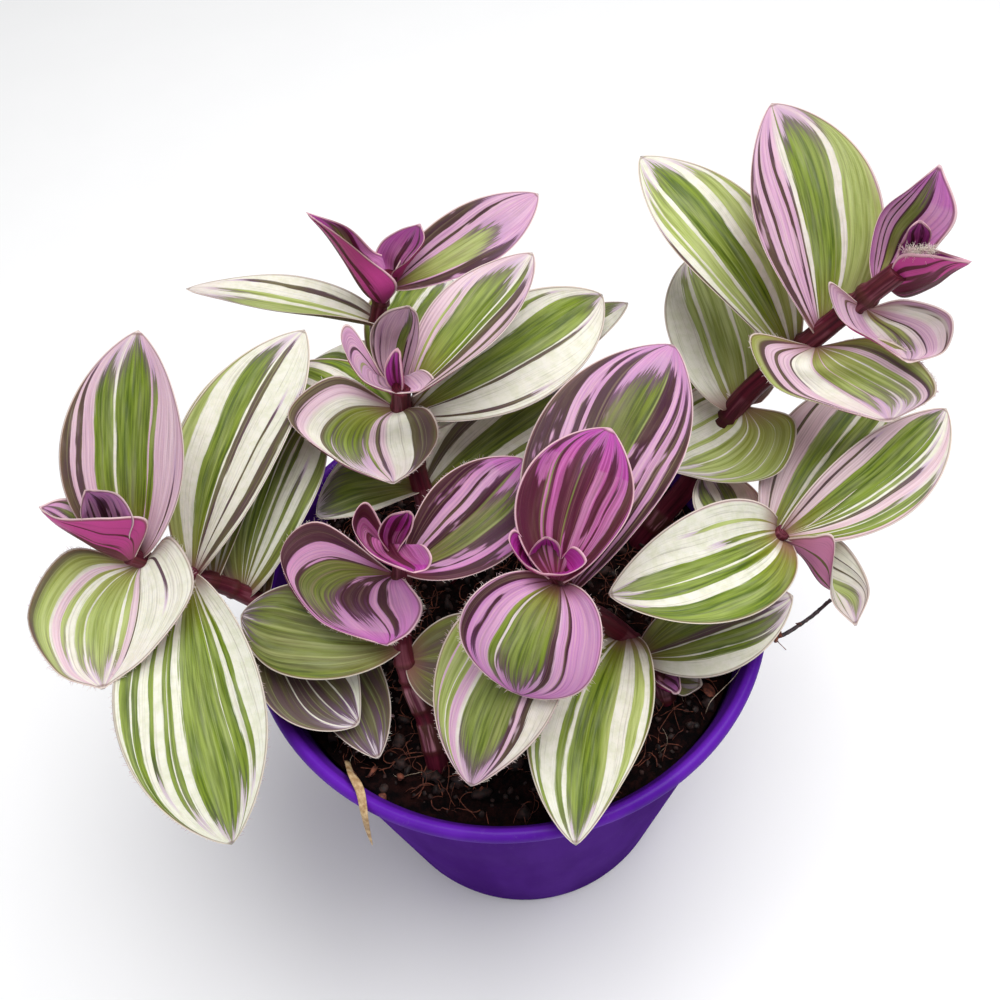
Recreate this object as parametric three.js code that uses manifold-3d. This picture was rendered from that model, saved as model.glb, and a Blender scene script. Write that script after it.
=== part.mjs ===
// A potted tradescantia: striped leafy stems in a tapering plastic pot of peat.
// Millimetres, +Z up. The origin is at the middle of the pot's flat bottom.
import * as THREE from "three";
import Module from "manifold-3d";
import { mergeVertices } from "three/addons/utils/BufferGeometryUtils.js";

const wasm = await Module();
wasm.setup();

// Pot
const POT_HEIGHT = 105;
const RIM_RADIUS = 60;
const LIP_WIDTH = 2.6;
const LIP_HEIGHT = 3.6;
const FOOT_RADIUS = 42;
const WALL = 1.6;
const FLOOR = 2.4;
const FOOT_CHAMFER = 1.5;
const POT_SIDES = 48;
const DRAIN_HOLES = 6;
const DRAIN_RADIUS = 3.5;
const DRAIN_CIRCLE = 30;

// Soil
const SOIL_TOP = 95.5;
const SOIL_CROWN = 1.2;
const SEAT_GAP = 0.3;
const ROOT_BOTTOM = 78;
const HOLE_TOP = 103;
const HOLE_GAP = 0.35;

// Blades
const BLADE = 0.8;
const TIP_WIDTH = 1.1;
const BASE_SHARE = 0.03;
const TIP_POWER = 0.72;
const CLASP_POWER = 2;
const SMALLEST_CURL = 1.3;
const BLADE_STEPS = [0, 0.12, 0.3, 0.5, 0.7, 0.87, 1];
const FLAT_COLUMNS = 4;
const CUPPED_COLUMNS = 5;
const CUPPED_CURL = 180;
const NEARBY = 0.01;

// Stems
const STEM_SIDES = 8;
const STEM_STEPS = 13;
const STEM_TOP_SHARE = 0.75;

// Loose bits: a twig that leans on the rim and a dry strip of leaf hung over it
const TWIG_RADIUS = 0.5;
const TWIG_PATH = [
  [42, -20.5, 97.5], [48.5, -21.5, 102], [53, -22.2, 106], [58, -22.4, 106.6], [65, -19.5, 107.6],
  [71, -16, 109],
];
const STRIP_WIDTH = 2;
const STRIP_THICKNESS = 0.8;
const STRIP_PATH = [
  [-38.5, -36, 96.8], [-37.3, -39.6, 100.5], [-36, -42.8, 105.4], [-34.2, -46.7, 106.2],
  [-33.6, -51.3, 104.4], [-34, -52.2, 98], [-34.2, -52.8, 91],
];
const STRIP_ACROSS = [0.8, -0.6, 0];

// Each leafy stem: its radius, and the points that it runs through from the soil's surface up.
const STEMS = {
  a: {
    radius: 2.3,
    path: [[-38, -8, 95], [-48, -6, 108], [-60, -3, 120], [-70, -4, 131], [-75, -6, 140]],
  },
  b: {
    radius: 2.6,
    path: [[-14, 10, 95], [-16, 14, 120], [-18, 20, 145], [-17, 19, 154]],
  },
  c: {
    radius: 2.4,
    path: [[-22, 42, 95], [-24, 52, 118], [-24, 60, 136], [-19, 62, 148]],
  },
  d: {
    radius: 2.5,
    path: [
      [-19, -38, 95], [-20, -31, 103], [-22, -26, 109], [-23, -21, 118], [-21, -14, 131], [-20, -11, 139],
    ],
  },
  e: {
    radius: 2.5,
    path: [[33, -28, 95], [31, -24, 100], [26, -20, 107], [20, -20, 118], [13, -22, 130], [9, -22, 142]],
  },
  f: {
    radius: 2.2,
    path: [[40, -4, 95], [50, -6, 110], [60, -8, 126]],
  },
  g: {
    radius: 2.8,
    path: [[34, 14, 95], [46, 18, 112], [56, 21, 136], [70, 20, 156], [81, 17, 173]],
  },
};

// Each plain leaf: its name, which starts with its stem's letter, its base, its tip, its width,
// the rise of its midrib over the chord and the bow to its right, all in millimetres, then its
// roll, the arc across its middle and the arc across its clasping base, in degrees, and the
// share of its length at which it is widest.
const PLAIN_LEAVES = [
  ["a1", [-75, -4, 138], [-67, 27, 170], 28, 2, 0, 0, 50, 120, 0.45],
  ["a5", [-66, -3, 127], [-39, 46, 148], 26, 4, -1, 0, 40, 120, 0.5],
  ["a6", [-67, -4, 127], [-60, -55, 106], 31, 5, 2, 0, 30, 120, 0.5],
  ["a7", [-58, -3, 117], [-38, 36, 134], 22, 3, 0, 0, 40, 120, 0.45],
  ["a8", [-63, -2, 123], [-53, 51, 138], 22, 3, -2, 0, 40, 120, 0.5],
  ["a9", [-50, -6, 111], [-34, -33, 108], 22, 2, 3, 0, 30, 100, 0.5],
  ["a10", [-42, -7, 102], [-31, -38, 101], 17, 3, 0, 0, 40, 100, 0.5],
  ["a11", [-55, -4, 115], [-72, 50, 112], 24, 5, 0, 0, 40, 120, 0.45],
  ["b3", [-15, 19, 152], [13, 40, 168], 19, 3, 2, 0, 40, 150, 0.5],
  ["b5", [-16, 20, 145], [29, 47, 148], 24, 4, 2, -30, 40, 120, 0.5],
  ["b6", [-17, 19, 138], [36, 52, 140], 18, 3, 1, 0, 40, 120, 0.5],
  ["b7", [-17, 15, 122], [21, 37, 130], 26, 3, 1, 0, 40, 120, 0.5],
  ["b8", [-18, 18, 136], [-48, 47, 135], 20, 3, 0, 0, 40, 120, 0.5],
  ["b9", [-16, 16, 124], [-42, 17, 118], 20, 4, 0, 0, 60, 120, 0.5],
  ["c3", [-19, 62, 144], [18, 78, 154], 17, 3, 2, -25, 40, 120, 0.5],
  ["c4", [-24, 59, 135], [-69, 68, 145], 20, 2, -1, -18, 40, 120, 0.45],
  ["c6", [-24, 54, 122], [-8, 100, 112], 24, 5, 0, 0, 40, 120, 0.45],
  ["c7", [-24, 50, 114], [-50, 78, 104], 24, 5, 0, 0, 40, 120, 0.45],
  ["d2", [-20, -13, 135], [7, 8, 140], 22, 3, 2, -30, 40, 140, 0.5],
  ["d4", [-23, -21, 119], [-58, -9, 118], 21, 4, -1, 25, 40, 120, 0.5],
  ["d5", [-22, -23, 115], [4, -25, 118], 22, 3, 2, -25, 40, 120, 0.5],
  ["e1", [10, -24, 142], [23, -3, 160], 23, 2, -1, 0, 40, 140, 0.5],
  ["e2", [11, -22, 134], [40, 22, 155], 32, 4, -2, 0, 40, 140, 0.5],
  ["e3", [10, -24, 140], [0, -41, 130], 29, 6, 0, 5, 50, 160, 0.5],
  ["e4", [12, -23, 132], [-11, -52, 115], 28, 4, 3, 0, 40, 140, 0.42],
  ["e5", [24, -21, 111], [8, -64, 110], 26, 5, 3, 0, 30, 120, 0.42],
  ["e7", [28, -22, 104], [61, -18, 116], 20, 3, 0, -30, 40, 120, 0.5],
  ["e8", [31, -25, 100], [35, -31, 102], 9, 0, 0, 0, 200, 240, 0.5],
  ["e9", [32, -25, 99], [41, -28, 99], 12, -1, 0, 0, 130, 200, 0.5],
  ["f1", [59, -8, 125], [20, -23, 133], 25, 4, -2, 25, 40, 120, 0.42],
  ["f2", [60, -8, 125], [98, 11, 138], 19, 3, 3, -25, 40, 120, 0.5],
  ["f4", [58, -7, 122], [92, 25, 132], 24, 3, -1, 0, 40, 120, 0.5],
  ["f6", [54, -7, 115], [48, 14, 121], 16, 2, 0, 0, 40, 120, 0.5],
  ["g1", [70, 20, 156], [64, 55, 187], 28, 3, 2, 0, 40, 120, 0.5],
  ["g2", [65, 21, 149], [40, 66, 170], 25, 4, 0, 0, 40, 120, 0.5],
  ["g3", [56, 21, 134], [51, 58, 146], 27, 3, 0, 0, 40, 120, 0.38],
  ["g10", [49, 20, 119], [57, 60, 118], 20, 4, 0, 0, 40, 120, 0.45],
];

// Each folded, cupped or bent leaf: its name, its base, three rows of points from its left edge
// over its midrib to its right edge, and its tip.
const SHAPED_LEAVES = [
  ["a2", [-74.5, -7, 139],
    [[-68.5, -4.5, 149], [-78.5, -5.5, 140], [-72.5, -2.5, 144]],
    [[-75.5, -5, 152], [-82.5, -4, 143], [-79.5, 3, 147]],
    [[-84.5, -4, 152], [-87, -1.5, 147], [-86.5, 3.5, 149]],
    [-90.5, 1, 150]],
  ["a3", [-75.5, -5.5, 139.5],
    [[-80.5, -5, 147], [-79, -2.5, 142], [-73, -5.5, 146]],
    [[-80, -5, 153], [-78, -1.5, 146], [-70.5, -5, 151]],
    [[-78.5, -4, 157], [-77.5, -1, 152], [-72.5, -2, 155]],
    [-77.5, -2.5, 158]],
  ["a4", [-73.5, -6, 137],
    [[-88.5, -2, 139], [-78, -9.5, 135], [-66.5, -3, 141]],
    [[-97, -13, 134], [-81.5, -14.5, 132], [-62.5, -12.5, 136]],
    [[-91, -25, 130], [-82.5, -22, 129], [-72, -23, 130]],
    [-82, -28.5, 127]],
  ["b1", [-17.5, 19.5, 150.5],
    [[-21.5, 22.5, 158], [-18.5, 23.5, 154], [-14.5, 21, 157]],
    [[-21.5, 24.5, 165], [-17, 27.5, 159], [-12, 21.5, 164]],
    [[-18, 24.5, 170], [-14.5, 25.5, 166], [-11.5, 22.5, 170]],
    [-13, 23.5, 172]],
  ["b2", [-18.5, 20, 149],
    [[-26, 32, 160], [-22.5, 24.5, 153], [-13, 20.5, 157]],
    [[-28.5, 28.5, 160], [-22.5, 22, 153], [-10, 18.5, 156]],
    [[-25, 21, 156], [-20.5, 20, 153], [-13, 17.5, 154]],
    [-18, 17.5, 154]],
  ["b4", [-18.5, 19.5, 147.5],
    [[-31, 26.5, 152], [-26, 18.5, 146], [-12, 16, 150]],
    [[-42, 20.5, 148], [-29.5, 16, 142], [-10.5, 12.5, 145]],
    [[-33, 12, 142], [-27.5, 11.5, 139], [-15, 9.5, 140]],
    [-21.5, 7.5, 137]],
  ["c1", [-22, 60.5, 139.5],
    [[-17.5, 57, 149], [-26, 61.5, 144], [-19, 69.5, 145]],
    [[-23.5, 61, 154], [-30, 68, 149], [-23, 71, 148]],
    [[-29.5, 64.5, 159], [-33, 69.5, 156], [-28, 72, 155]],
    [-36.5, 71, 161]],
  ["c2", [-19.5, 61.5, 144],
    [[-23, 70.5, 145], [-17.5, 64.5, 145], [-18.5, 60, 150]],
    [[-21, 72.5, 149], [-16, 64.5, 149], [-14, 59, 154]],
    [[-16, 70, 154], [-12, 63.5, 155], [-10, 60, 158]],
    [-10.5, 65, 159]],
  ["d0", [-21, -12, 137],
    [[-25, -5.5, 148], [-25.5, -8, 140], [-15.5, -14.5, 145]],
    [[-28.5, -9, 147], [-25, -11.5, 140], [-13.5, -17.5, 145]],
    [[-25.5, -14.5, 144], [-21.5, -15.5, 141], [-14.5, -19, 143]],
    [-17.5, -19.5, 143]],
  ["d1", [-21, -12, 137.5],
    [[-23, -12.5, 143], [-21.5, -11.5, 139], [-20, -13.5, 143]],
    [[-23.5, -12, 147], [-21, -9.5, 141], [-17, -12.5, 147]],
    [[-21, -10.5, 150], [-19, -9, 145], [-16, -11.5, 150]],
    [-17, -10.5, 151]],
  ["d3", [-22, -13, 133.5],
    [[-37, -1, 138], [-33, -10, 131], [-19, -17, 135]],
    [[-46, -5, 133], [-38.5, -12, 128], [-17, -20, 131]],
    [[-39.5, -18, 128], [-34.5, -18.5, 126], [-20, -23, 127]],
    [-25.5, -24.5, 125]],
  ["e0", [8.5, -22, 140],
    [[6, -21.5, 143], [8, -20, 140], [10.5, -21.5, 143.5]],
    [[5, -21, 147], [8.5, -19, 141], [11, -21.5, 147]],
    [[6.5, -20.5, 150], [8.5, -18.5, 145], [10.5, -21, 150]],
    [8.5, -20, 151]],
  ["e6", [8.5, -22, 139.5],
    [[3.5, -17.5, 150], [7.5, -19.5, 141], [13, -21.5, 149]],
    [[1.5, -19, 150], [7.5, -22, 142], [15.5, -25, 149]],
    [[3.5, -23, 148], [7, -23.5, 144], [12, -26, 147]],
    [7, -25.5, 147]],
  ["f3", [59.5, -8, 123.5],
    [[66, -8.5, 125], [64, -11.5, 121], [64, -12.5, 130]],
    [[72.5, -11.5, 124], [67.5, -16, 117], [68, -14.5, 131]],
    [[77.5, -18, 116], [73, -18.5, 113], [68.5, -20, 117]],
    [74.5, -23, 109]],
  ["g4", [69, 18.5, 153.5],
    [[54.5, 17.5, 160], [66.5, 12.5, 154], [78, 13, 160]],
    [[57, 8, 155], [70.5, 9.5, 151], [86, 9, 157]],
    [[68, 4.5, 151], [75.5, 5.5, 149], [90, 4.5, 151]],
    [80.5, 1.5, 147]],
  ["g5", [76.5, 17, 164.5],
    [[68, 17.5, 172], [78, 16, 162], [83, 14.5, 168]],
    [[70.5, 14.5, 165], [81, 13.5, 160], [91, 11, 166]],
    [[77.5, 11, 161], [83.5, 10.5, 158], [90.5, 7.5, 160]],
    [83.5, 7, 158]],
  ["g6", [78, 18.5, 168],
    [[77, 22.5, 173], [82, 24.5, 169], [85, 19, 172]],
    [[79.5, 27.5, 179], [83.5, 26.5, 175], [89, 20, 176]],
    [[84.5, 28, 184], [86.5, 27, 181], [92, 22.5, 181]],
    [89.5, 29.5, 187]],
  ["g7", [79.5, 17.5, 169.5],
    [[84, 23.5, 172], [84, 17.5, 166], [80, 17, 177]],
    [[88, 21.5, 174], [88.5, 16.5, 169], [83.5, 14.5, 179]],
    [[91, 18, 175], [91, 15.5, 173], [88, 14, 178]],
    [94, 15.5, 175]],
  ["g8", [56.5, 20.5, 135.5],
    [[65.5, 12, 138.5], [56.5, 16, 132], [50.5, 26, 137]],
    [[61, 2.5, 133.5], [52, 14, 128], [44.5, 26, 134]],
    [[50.5, 4.5, 128.5], [46, 13, 126], [40, 20.5, 129]],
    [39, 12.5, 125]],
  ["g9", [81.5, 18, 169.5],
    [[82, 21.5, 174.5], [85, 22, 172], [86.5, 20.5, 174]],
    [[82, 20.5, 178], [85.5, 22.5, 175.5], [87, 20, 177]],
    [[81.5, 19, 181.5], [84.5, 21.5, 178.5], [86, 19, 180.5]],
    [84, 20.5, 182]],
];

// Materials
const potPlastic = new THREE.MeshStandardMaterial({ color: 0x4a1fa0, roughness: 0.35 });
const peat = new THREE.MeshStandardMaterial({ color: 0x1a1210, roughness: 0.95 });
const wood = new THREE.MeshStandardMaterial({ color: 0x2b2226, roughness: 0.8 });
const straw = new THREE.MeshStandardMaterial({ color: 0xb89a5e, roughness: 0.8 });
const stripedLeaf = new THREE.MeshStandardMaterial({ color: 0x8a9a5a, roughness: 0.55 });

const radians = THREE.MathUtils.degToRad;

function solidFrom(geometry) {
  geometry.deleteAttribute("normal");
  geometry.deleteAttribute("uv");
  const merged = mergeVertices(geometry, 1e-4);
  return new wasm.Manifold(new wasm.Mesh({
    numProp: 3,
    vertProperties: new Float32Array(merged.attributes.position.array),
    triVerts: new Uint32Array(merged.index.array),
  }));
}

function geometryFrom(solid) {
  const mesh = solid.getMesh();
  const geometry = new THREE.BufferGeometry();
  geometry.setAttribute("position", new THREE.BufferAttribute(new Float32Array(mesh.vertProperties), 3));
  geometry.setIndex(new THREE.BufferAttribute(new Uint32Array(mesh.triVerts), 1));
  geometry.computeVertexNormals();
  return geometry;
}

function gridSolid(points, index) {
  const geometry = new THREE.BufferGeometry();
  geometry.setAttribute("position", new THREE.Float32BufferAttribute(points, 3));
  geometry.setIndex(index);
  return solidFrom(geometry);
}

function lathe(profile, sides) {
  const geometry = new THREE.LatheGeometry(profile.map(([r, z]) => new THREE.Vector2(r, z)), sides);
  geometry.rotateX(Math.PI / 2);
  return solidFrom(geometry);
}

// Half the blade's width at a share of its length
function halfWidth(width, widest, share) {
  const t = BASE_SHARE + (1 - BASE_SHARE) * share;
  const basePower = TIP_POWER * widest / (1 - widest);
  const shape = (t / widest) ** basePower * ((1 - t) / (1 - widest)) ** TIP_POWER;
  return Math.max(width * shape, TIP_WIDTH) / 2;
}

// A plain blade's middle surface as rows of points with their normals
function plainSurface([, base, tip, width, arch, bow, roll, cup, curl, widest]) {
  const columns = curl >= CUPPED_CURL ? CUPPED_COLUMNS : FLAT_COLUMNS;
  const start = new THREE.Vector3(...base);
  const chord = new THREE.Vector3(...tip).sub(start);
  const along = chord.clone().normalize();
  const level = new THREE.Vector3().crossVectors(along, new THREE.Vector3(0, 0, 1)).normalize();
  const right = level.applyAxisAngle(along, radians(-roll));
  const rise = new THREE.Vector3().crossVectors(right, along);
  return BLADE_STEPS.map((u) => {
    const bulge = 4 * u * (1 - u);
    const slope = 4 * (1 - 2 * u);
    const middle = start.clone().addScaledVector(chord, u);
    middle.addScaledVector(rise, arch * bulge).addScaledVector(right, bow * bulge);
    const heading = chord.clone().addScaledVector(rise, arch * slope).addScaledVector(right, bow * slope);
    heading.normalize();
    const side = right.clone().addScaledVector(heading, -right.dot(heading)).normalize();
    const up = new THREE.Vector3().crossVectors(side, heading);
    const half = halfWidth(width, widest, u);
    const wanted = radians(cup + (curl - cup) * (1 - u) ** CLASP_POWER) / 2;
    const arc = Math.min(wanted, half / SMALLEST_CURL);
    return Array.from({ length: columns + 1 }, (_, j) => {
      const angle = arc * (2 * j / columns - 1);
      const point = middle.clone().addScaledVector(side, half * Math.sin(angle) / arc);
      point.addScaledVector(up, half * (1 - Math.cos(angle)) / arc);
      const normal = up.clone().multiplyScalar(Math.cos(angle)).addScaledVector(side, -Math.sin(angle));
      return { point, normal };
    });
  });
}

// The narrow row across a point of the blade, in line with its neighbouring row
function narrowRow(point, [left, , right]) {
  const middle = new THREE.Vector3(...point);
  const side = new THREE.Vector3(...right).sub(new THREE.Vector3(...left)).setLength(TIP_WIDTH / 2);
  return [middle.clone().sub(side).toArray(), point, middle.clone().add(side).toArray()];
}

// A shaped blade's middle surface. Its two edges and its midrib are smooth curves through the
// rows, and it bends evenly across from one to the next.
function shapedSurface([, base, first, second, third, tip]) {
  const rows = [narrowRow(base, first), first, second, third, narrowRow(tip, third)];
  const lines = [0, 1, 2].map((k) => {
    const points = rows.map((row) => new THREE.Vector3(...row[k]));
    return new THREE.CatmullRomCurve3(points, false, "catmullrom");
  });
  const place = (u, v) => {
    const [left, middle, right] = lines.map((line) => line.getPoint(THREE.MathUtils.clamp(u, 0, 1)));
    const half = right.clone().sub(left).divideScalar(2);
    const bend = right.clone().add(left).divideScalar(2).sub(middle);
    return middle.addScaledVector(half, v).addScaledVector(bend, v * v);
  };
  return BLADE_STEPS.map((u) => Array.from({ length: FLAT_COLUMNS + 1 }, (_, j) => {
    const v = 2 * j / FLAT_COLUMNS - 1;
    const across = place(u, v + NEARBY).sub(place(u, v - NEARBY));
    const along = place(u + NEARBY, v).sub(place(u - NEARBY, v));
    return { point: place(u, v), normal: across.cross(along).normalize() };
  }));
}

// A closed blade: the same triangles on both faces, joined round the edge
function bladeSolid(surface) {
  const rows = surface.length;
  const columns = surface[0].length - 1;
  const points = [];
  for (const face of [0.5, -0.5]) {
    for (const row of surface) {
      for (const { point, normal } of row) {
        points.push(...point.clone().addScaledVector(normal, face * BLADE));
      }
    }
  }
  const lower = rows * (columns + 1);
  const at = (i, j) => i * (columns + 1) + j;
  const index = [];
  for (let i = 0; i < rows - 1; i += 1) {
    for (let j = 0; j < columns; j += 1) {
      const [a, b, c, d] = [at(i, j), at(i, j + 1), at(i + 1, j + 1), at(i + 1, j)];
      index.push(a, b, c, a, c, d);
      index.push(lower + a, lower + c, lower + b, lower + a, lower + d, lower + c);
    }
  }
  const edge = [];
  for (let j = 0; j < columns; j += 1) edge.push(at(0, j));
  for (let i = 0; i < rows - 1; i += 1) edge.push(at(i, columns));
  for (let j = columns; j > 0; j -= 1) edge.push(at(rows - 1, j));
  for (let i = rows - 1; i > 0; i -= 1) edge.push(at(i, 0));
  edge.forEach((a, k) => {
    const b = edge[(k + 1) % edge.length];
    index.push(a, lower + a, lower + b, a, lower + b, b);
  });
  return gridSolid(points, index);
}

// A closed body along evenly spaced stations of a curve. The outline is its ring of across
// and up offsets at a station, and across is the direction nearest to the ring's first axis.
function sweepSolid(stations, across, outline) {
  const last = stations.length - 1;
  const points = [];
  let sides = 0;
  stations.forEach((centre, i) => {
    const ahead = stations[Math.min(i + 1, last)].clone().sub(stations[Math.max(i - 1, 0)]).normalize();
    const side = across.clone().addScaledVector(ahead, -across.dot(ahead)).normalize();
    const up = new THREE.Vector3().crossVectors(ahead, side);
    const ring = outline(centre, i / last);
    sides = ring.length;
    for (const [x, y] of ring) {
      points.push(...centre.clone().addScaledVector(side, x).addScaledVector(up, y));
    }
  });
  const index = [];
  const end = last * sides;
  for (let ring = 0; ring < end; ring += sides) {
    for (let k = 0; k < sides; k += 1) {
      const a = ring + k;
      const b = ring + (k + 1) % sides;
      index.push(a, b, b + sides, a, b + sides, a + sides);
    }
  }
  for (let k = 1; k < sides - 1; k += 1) {
    index.push(0, k + 1, k);
    index.push(end, end + k, end + k + 1);
  }
  return gridSolid(points, index);
}

function stationsOn(path, steps) {
  const curve = new THREE.CatmullRomCurve3(path.map((p) => new THREE.Vector3(...p)), false, "centripetal");
  return curve.getSpacedPoints(steps);
}

function circle(radius, sides) {
  return Array.from({ length: sides }, (_, k) => {
    const angle = 2 * Math.PI * k / sides;
    return [radius * Math.cos(angle), radius * Math.sin(angle)];
  });
}

// A stem, thinner towards its top, on a straight root in the soil. The body for its hole is
// wider by a gap all round and stops just above the soil.
function stemSolid({ radius, path }, gap = 0) {
  const [x, y, ground] = path[0];
  const height = path[path.length - 1][2] - ground;
  const root = [[x, y, ROOT_BOTTOM], [x, y, (ROOT_BOTTOM + ground) / 2]];
  let stations = stationsOn([...root, ...path], STEM_STEPS);
  if (gap > 0) {
    stations = stations.filter((p) => p.z < HOLE_TOP);
    stations[0].z -= gap;
  }
  return sweepSolid(stations, new THREE.Vector3(1, 0, 0), (centre) => {
    const share = Math.max(0, (centre.z - ground) / height);
    return circle(radius * (1 + (STEM_TOP_SHARE - 1) * share) + gap, STEM_SIDES);
  });
}

function twigSolid() {
  return sweepSolid(stationsOn(TWIG_PATH, 12), new THREE.Vector3(0, 1, 0), () => circle(TWIG_RADIUS, 6));
}

function stripSolid() {
  const t = STRIP_THICKNESS / 2;
  return sweepSolid(stationsOn(STRIP_PATH, 14), new THREE.Vector3(...STRIP_ACROSS), (_, share) => {
    const w = STRIP_WIDTH / 2 * (1 - 0.5 * share ** 4);
    return [[w, -t], [w, t], [-w, t], [-w, -t]];
  });
}

function potSolid() {
  const wallTop = POT_HEIGHT - LIP_HEIGHT;
  const underLip = RIM_RADIUS - LIP_WIDTH;
  const slope = (underLip - FOOT_RADIUS) / wallTop;
  const inner = (z) => FOOT_RADIUS + slope * z - WALL;
  const shell = lathe([
    [0, 0],
    [FOOT_RADIUS - FOOT_CHAMFER, 0],
    [FOOT_RADIUS, FOOT_CHAMFER],
    [underLip, wallTop],
    [RIM_RADIUS - 0.5, wallTop],
    [RIM_RADIUS, wallTop + 0.7],
    [RIM_RADIUS, POT_HEIGHT - 1],
    [RIM_RADIUS - 0.7, POT_HEIGHT],
    [RIM_RADIUS - LIP_WIDTH + 0.3, POT_HEIGHT],
    [inner(wallTop), wallTop],
    [inner(FLOOR), FLOOR],
    [0, FLOOR],
  ], POT_SIDES);
  let pot = shell;
  for (let k = 0; k < DRAIN_HOLES; k += 1) {
    const angle = 2 * Math.PI * (k + 0.5) / DRAIN_HOLES;
    const hole = lathe([[0, -FLOOR], [DRAIN_RADIUS, -FLOOR], [DRAIN_RADIUS, 2 * FLOOR], [0, 2 * FLOOR]], 16);
    pot = pot.subtract(hole.translate([DRAIN_CIRCLE * Math.cos(angle), DRAIN_CIRCLE * Math.sin(angle), 0]));
  }
  return pot;
}

function soilSolid() {
  const wallTop = POT_HEIGHT - LIP_HEIGHT;
  const slope = (RIM_RADIUS - LIP_WIDTH - FOOT_RADIUS) / wallTop;
  const edge = (z) => FOOT_RADIUS + slope * z - WALL - SEAT_GAP;
  const bottom = FLOOR + SEAT_GAP;
  let soil = lathe([
    [0, bottom],
    [edge(bottom), bottom],
    [edge(SOIL_TOP), SOIL_TOP],
    [edge(SOIL_TOP) * 0.7, SOIL_TOP + 0.8 * SOIL_CROWN],
    [0, SOIL_TOP + SOIL_CROWN],
  ], POT_SIDES);
  for (const stem of Object.values(STEMS)) {
    soil = soil.subtract(stemSolid(stem, HOLE_GAP));
  }
  return soil;
}

// A stem and all of its leaves, grown together as one body. Slivers shut in between two blades
// are left out.
function leafyStem(letter) {
  const grownHere = ([name]) => name[0] === letter;
  const surfaces = [
    ...PLAIN_LEAVES.filter(grownHere).map(plainSurface),
    ...SHAPED_LEAVES.filter(grownHere).map(shapedSurface),
  ];
  const grown = surfaces.reduce((shoot, surface) => shoot.add(bladeSolid(surface)), stemSolid(STEMS[letter]));
  return grown.decompose().reduce((largest, body) => (body.volume() > largest.volume() ? body : largest));
}

function piece(name, solid, material) {
  const mesh = new THREE.Mesh(geometryFrom(solid), material);
  mesh.name = name;
  return mesh;
}

const plant = new THREE.Group();
plant.add(piece("pot", potSolid(), potPlastic));
plant.add(piece("soil", soilSolid(), peat));
for (const letter of Object.keys(STEMS)) {
  plant.add(piece(`leafy_stem_${letter}`, leafyStem(letter), stripedLeaf));
}
plant.add(piece("twig", twigSolid(), wood));
plant.add(piece("dry_strip", stripSolid(), straw));

export default plant;
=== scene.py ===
import math
import random

import bmesh
import bpy
import numpy as np
from mathutils import Matrix, Vector


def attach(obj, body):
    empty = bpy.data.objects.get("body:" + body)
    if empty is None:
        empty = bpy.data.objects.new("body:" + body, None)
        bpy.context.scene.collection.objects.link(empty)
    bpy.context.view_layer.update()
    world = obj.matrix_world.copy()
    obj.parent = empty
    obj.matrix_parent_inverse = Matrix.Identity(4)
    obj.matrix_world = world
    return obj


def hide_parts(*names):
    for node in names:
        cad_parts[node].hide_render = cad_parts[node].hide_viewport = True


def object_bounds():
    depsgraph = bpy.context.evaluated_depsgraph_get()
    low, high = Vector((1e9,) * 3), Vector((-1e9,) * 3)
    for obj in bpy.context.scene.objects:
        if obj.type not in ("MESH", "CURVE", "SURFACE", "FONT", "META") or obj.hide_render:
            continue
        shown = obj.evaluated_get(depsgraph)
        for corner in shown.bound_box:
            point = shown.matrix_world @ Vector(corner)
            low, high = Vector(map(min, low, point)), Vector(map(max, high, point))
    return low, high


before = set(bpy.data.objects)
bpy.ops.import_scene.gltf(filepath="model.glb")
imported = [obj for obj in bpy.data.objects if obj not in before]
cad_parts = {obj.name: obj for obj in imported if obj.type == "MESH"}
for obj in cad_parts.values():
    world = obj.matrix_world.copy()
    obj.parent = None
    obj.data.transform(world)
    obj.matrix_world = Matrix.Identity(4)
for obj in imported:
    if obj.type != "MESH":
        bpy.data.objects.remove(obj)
cad_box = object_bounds()

MM = 0.001

# Pot, in millimetres
POT_HEIGHT = 105
RIM_RADIUS = 60
LIP_WIDTH = 2.6
LIP_HEIGHT = 3.6
FOOT_RADIUS = 42
WALL = 1.6
FLOOR_THICKNESS = 2.4
WALL_TOP = POT_HEIGHT - LIP_HEIGHT
UNDER_LIP = RIM_RADIUS - LIP_WIDTH
POT_SIDES = 180

# Half the width and half the height of the lip's rounding
LIP_ACROSS = 1.45
LIP_UP = 1.75

# Soil, in millimetres: its surface, its hidden bed, and the clods of its surface
SOIL_TOP = 95.5
SOIL_EDGE = 54.2
SOIL_BED = 80
SOIL_RINGS = 70
SOIL_SIDES = 160
CLOD_SIZE = 0.28

# What lies loose on the soil, how many of each
CRUMB_COUNT = 1100
FIBRE_COUNT = 1000
TANGLE_COUNT = 46
ROOT_HAIR_COUNT = 70

# The seeds of the random draws
SEEDS = {"clods": 7, "crumbs": 11, "fibres": 23, "root hairs": 31, "leaf hairs": 41, "twig": 5, "bark": 7}

# The leaf outline's constants
BASE_SHARE = 0.03
TIP_POWER = 0.8
CLASP_POWER = 2
SMALLEST_CURL = 1.3
NARROW_END = 0.3

# The leaf's relief, in millimetres: half its thickness, its edge waves, its midrib's dip, its ribs
HALF_THICKNESS = 0.24
EDGE_WAVES = (0.25, 0.6)
MIDRIB_DIP = 0.35
RIB_HEIGHT = 0.10

# The camera: its distance from the rim's middle in millimetres, its turns in degrees, its lens
CAMERA_DISTANCE = 243
CAMERA_ELEVATION = 57.5
CAMERA_PAN = 0.2
CAMERA_TILT = 4.6
CAMERA_ROLL = -6.2
SENSOR_WIDTH = 36
LENS = 37.44

# Light from all round, and half the floor's width in metres
SKY_COLOUR = (0.97, 0.98, 1.0, 1.0)
SKY_STRENGTH = 0.32
FLOOR_HALF = 1.5

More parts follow.
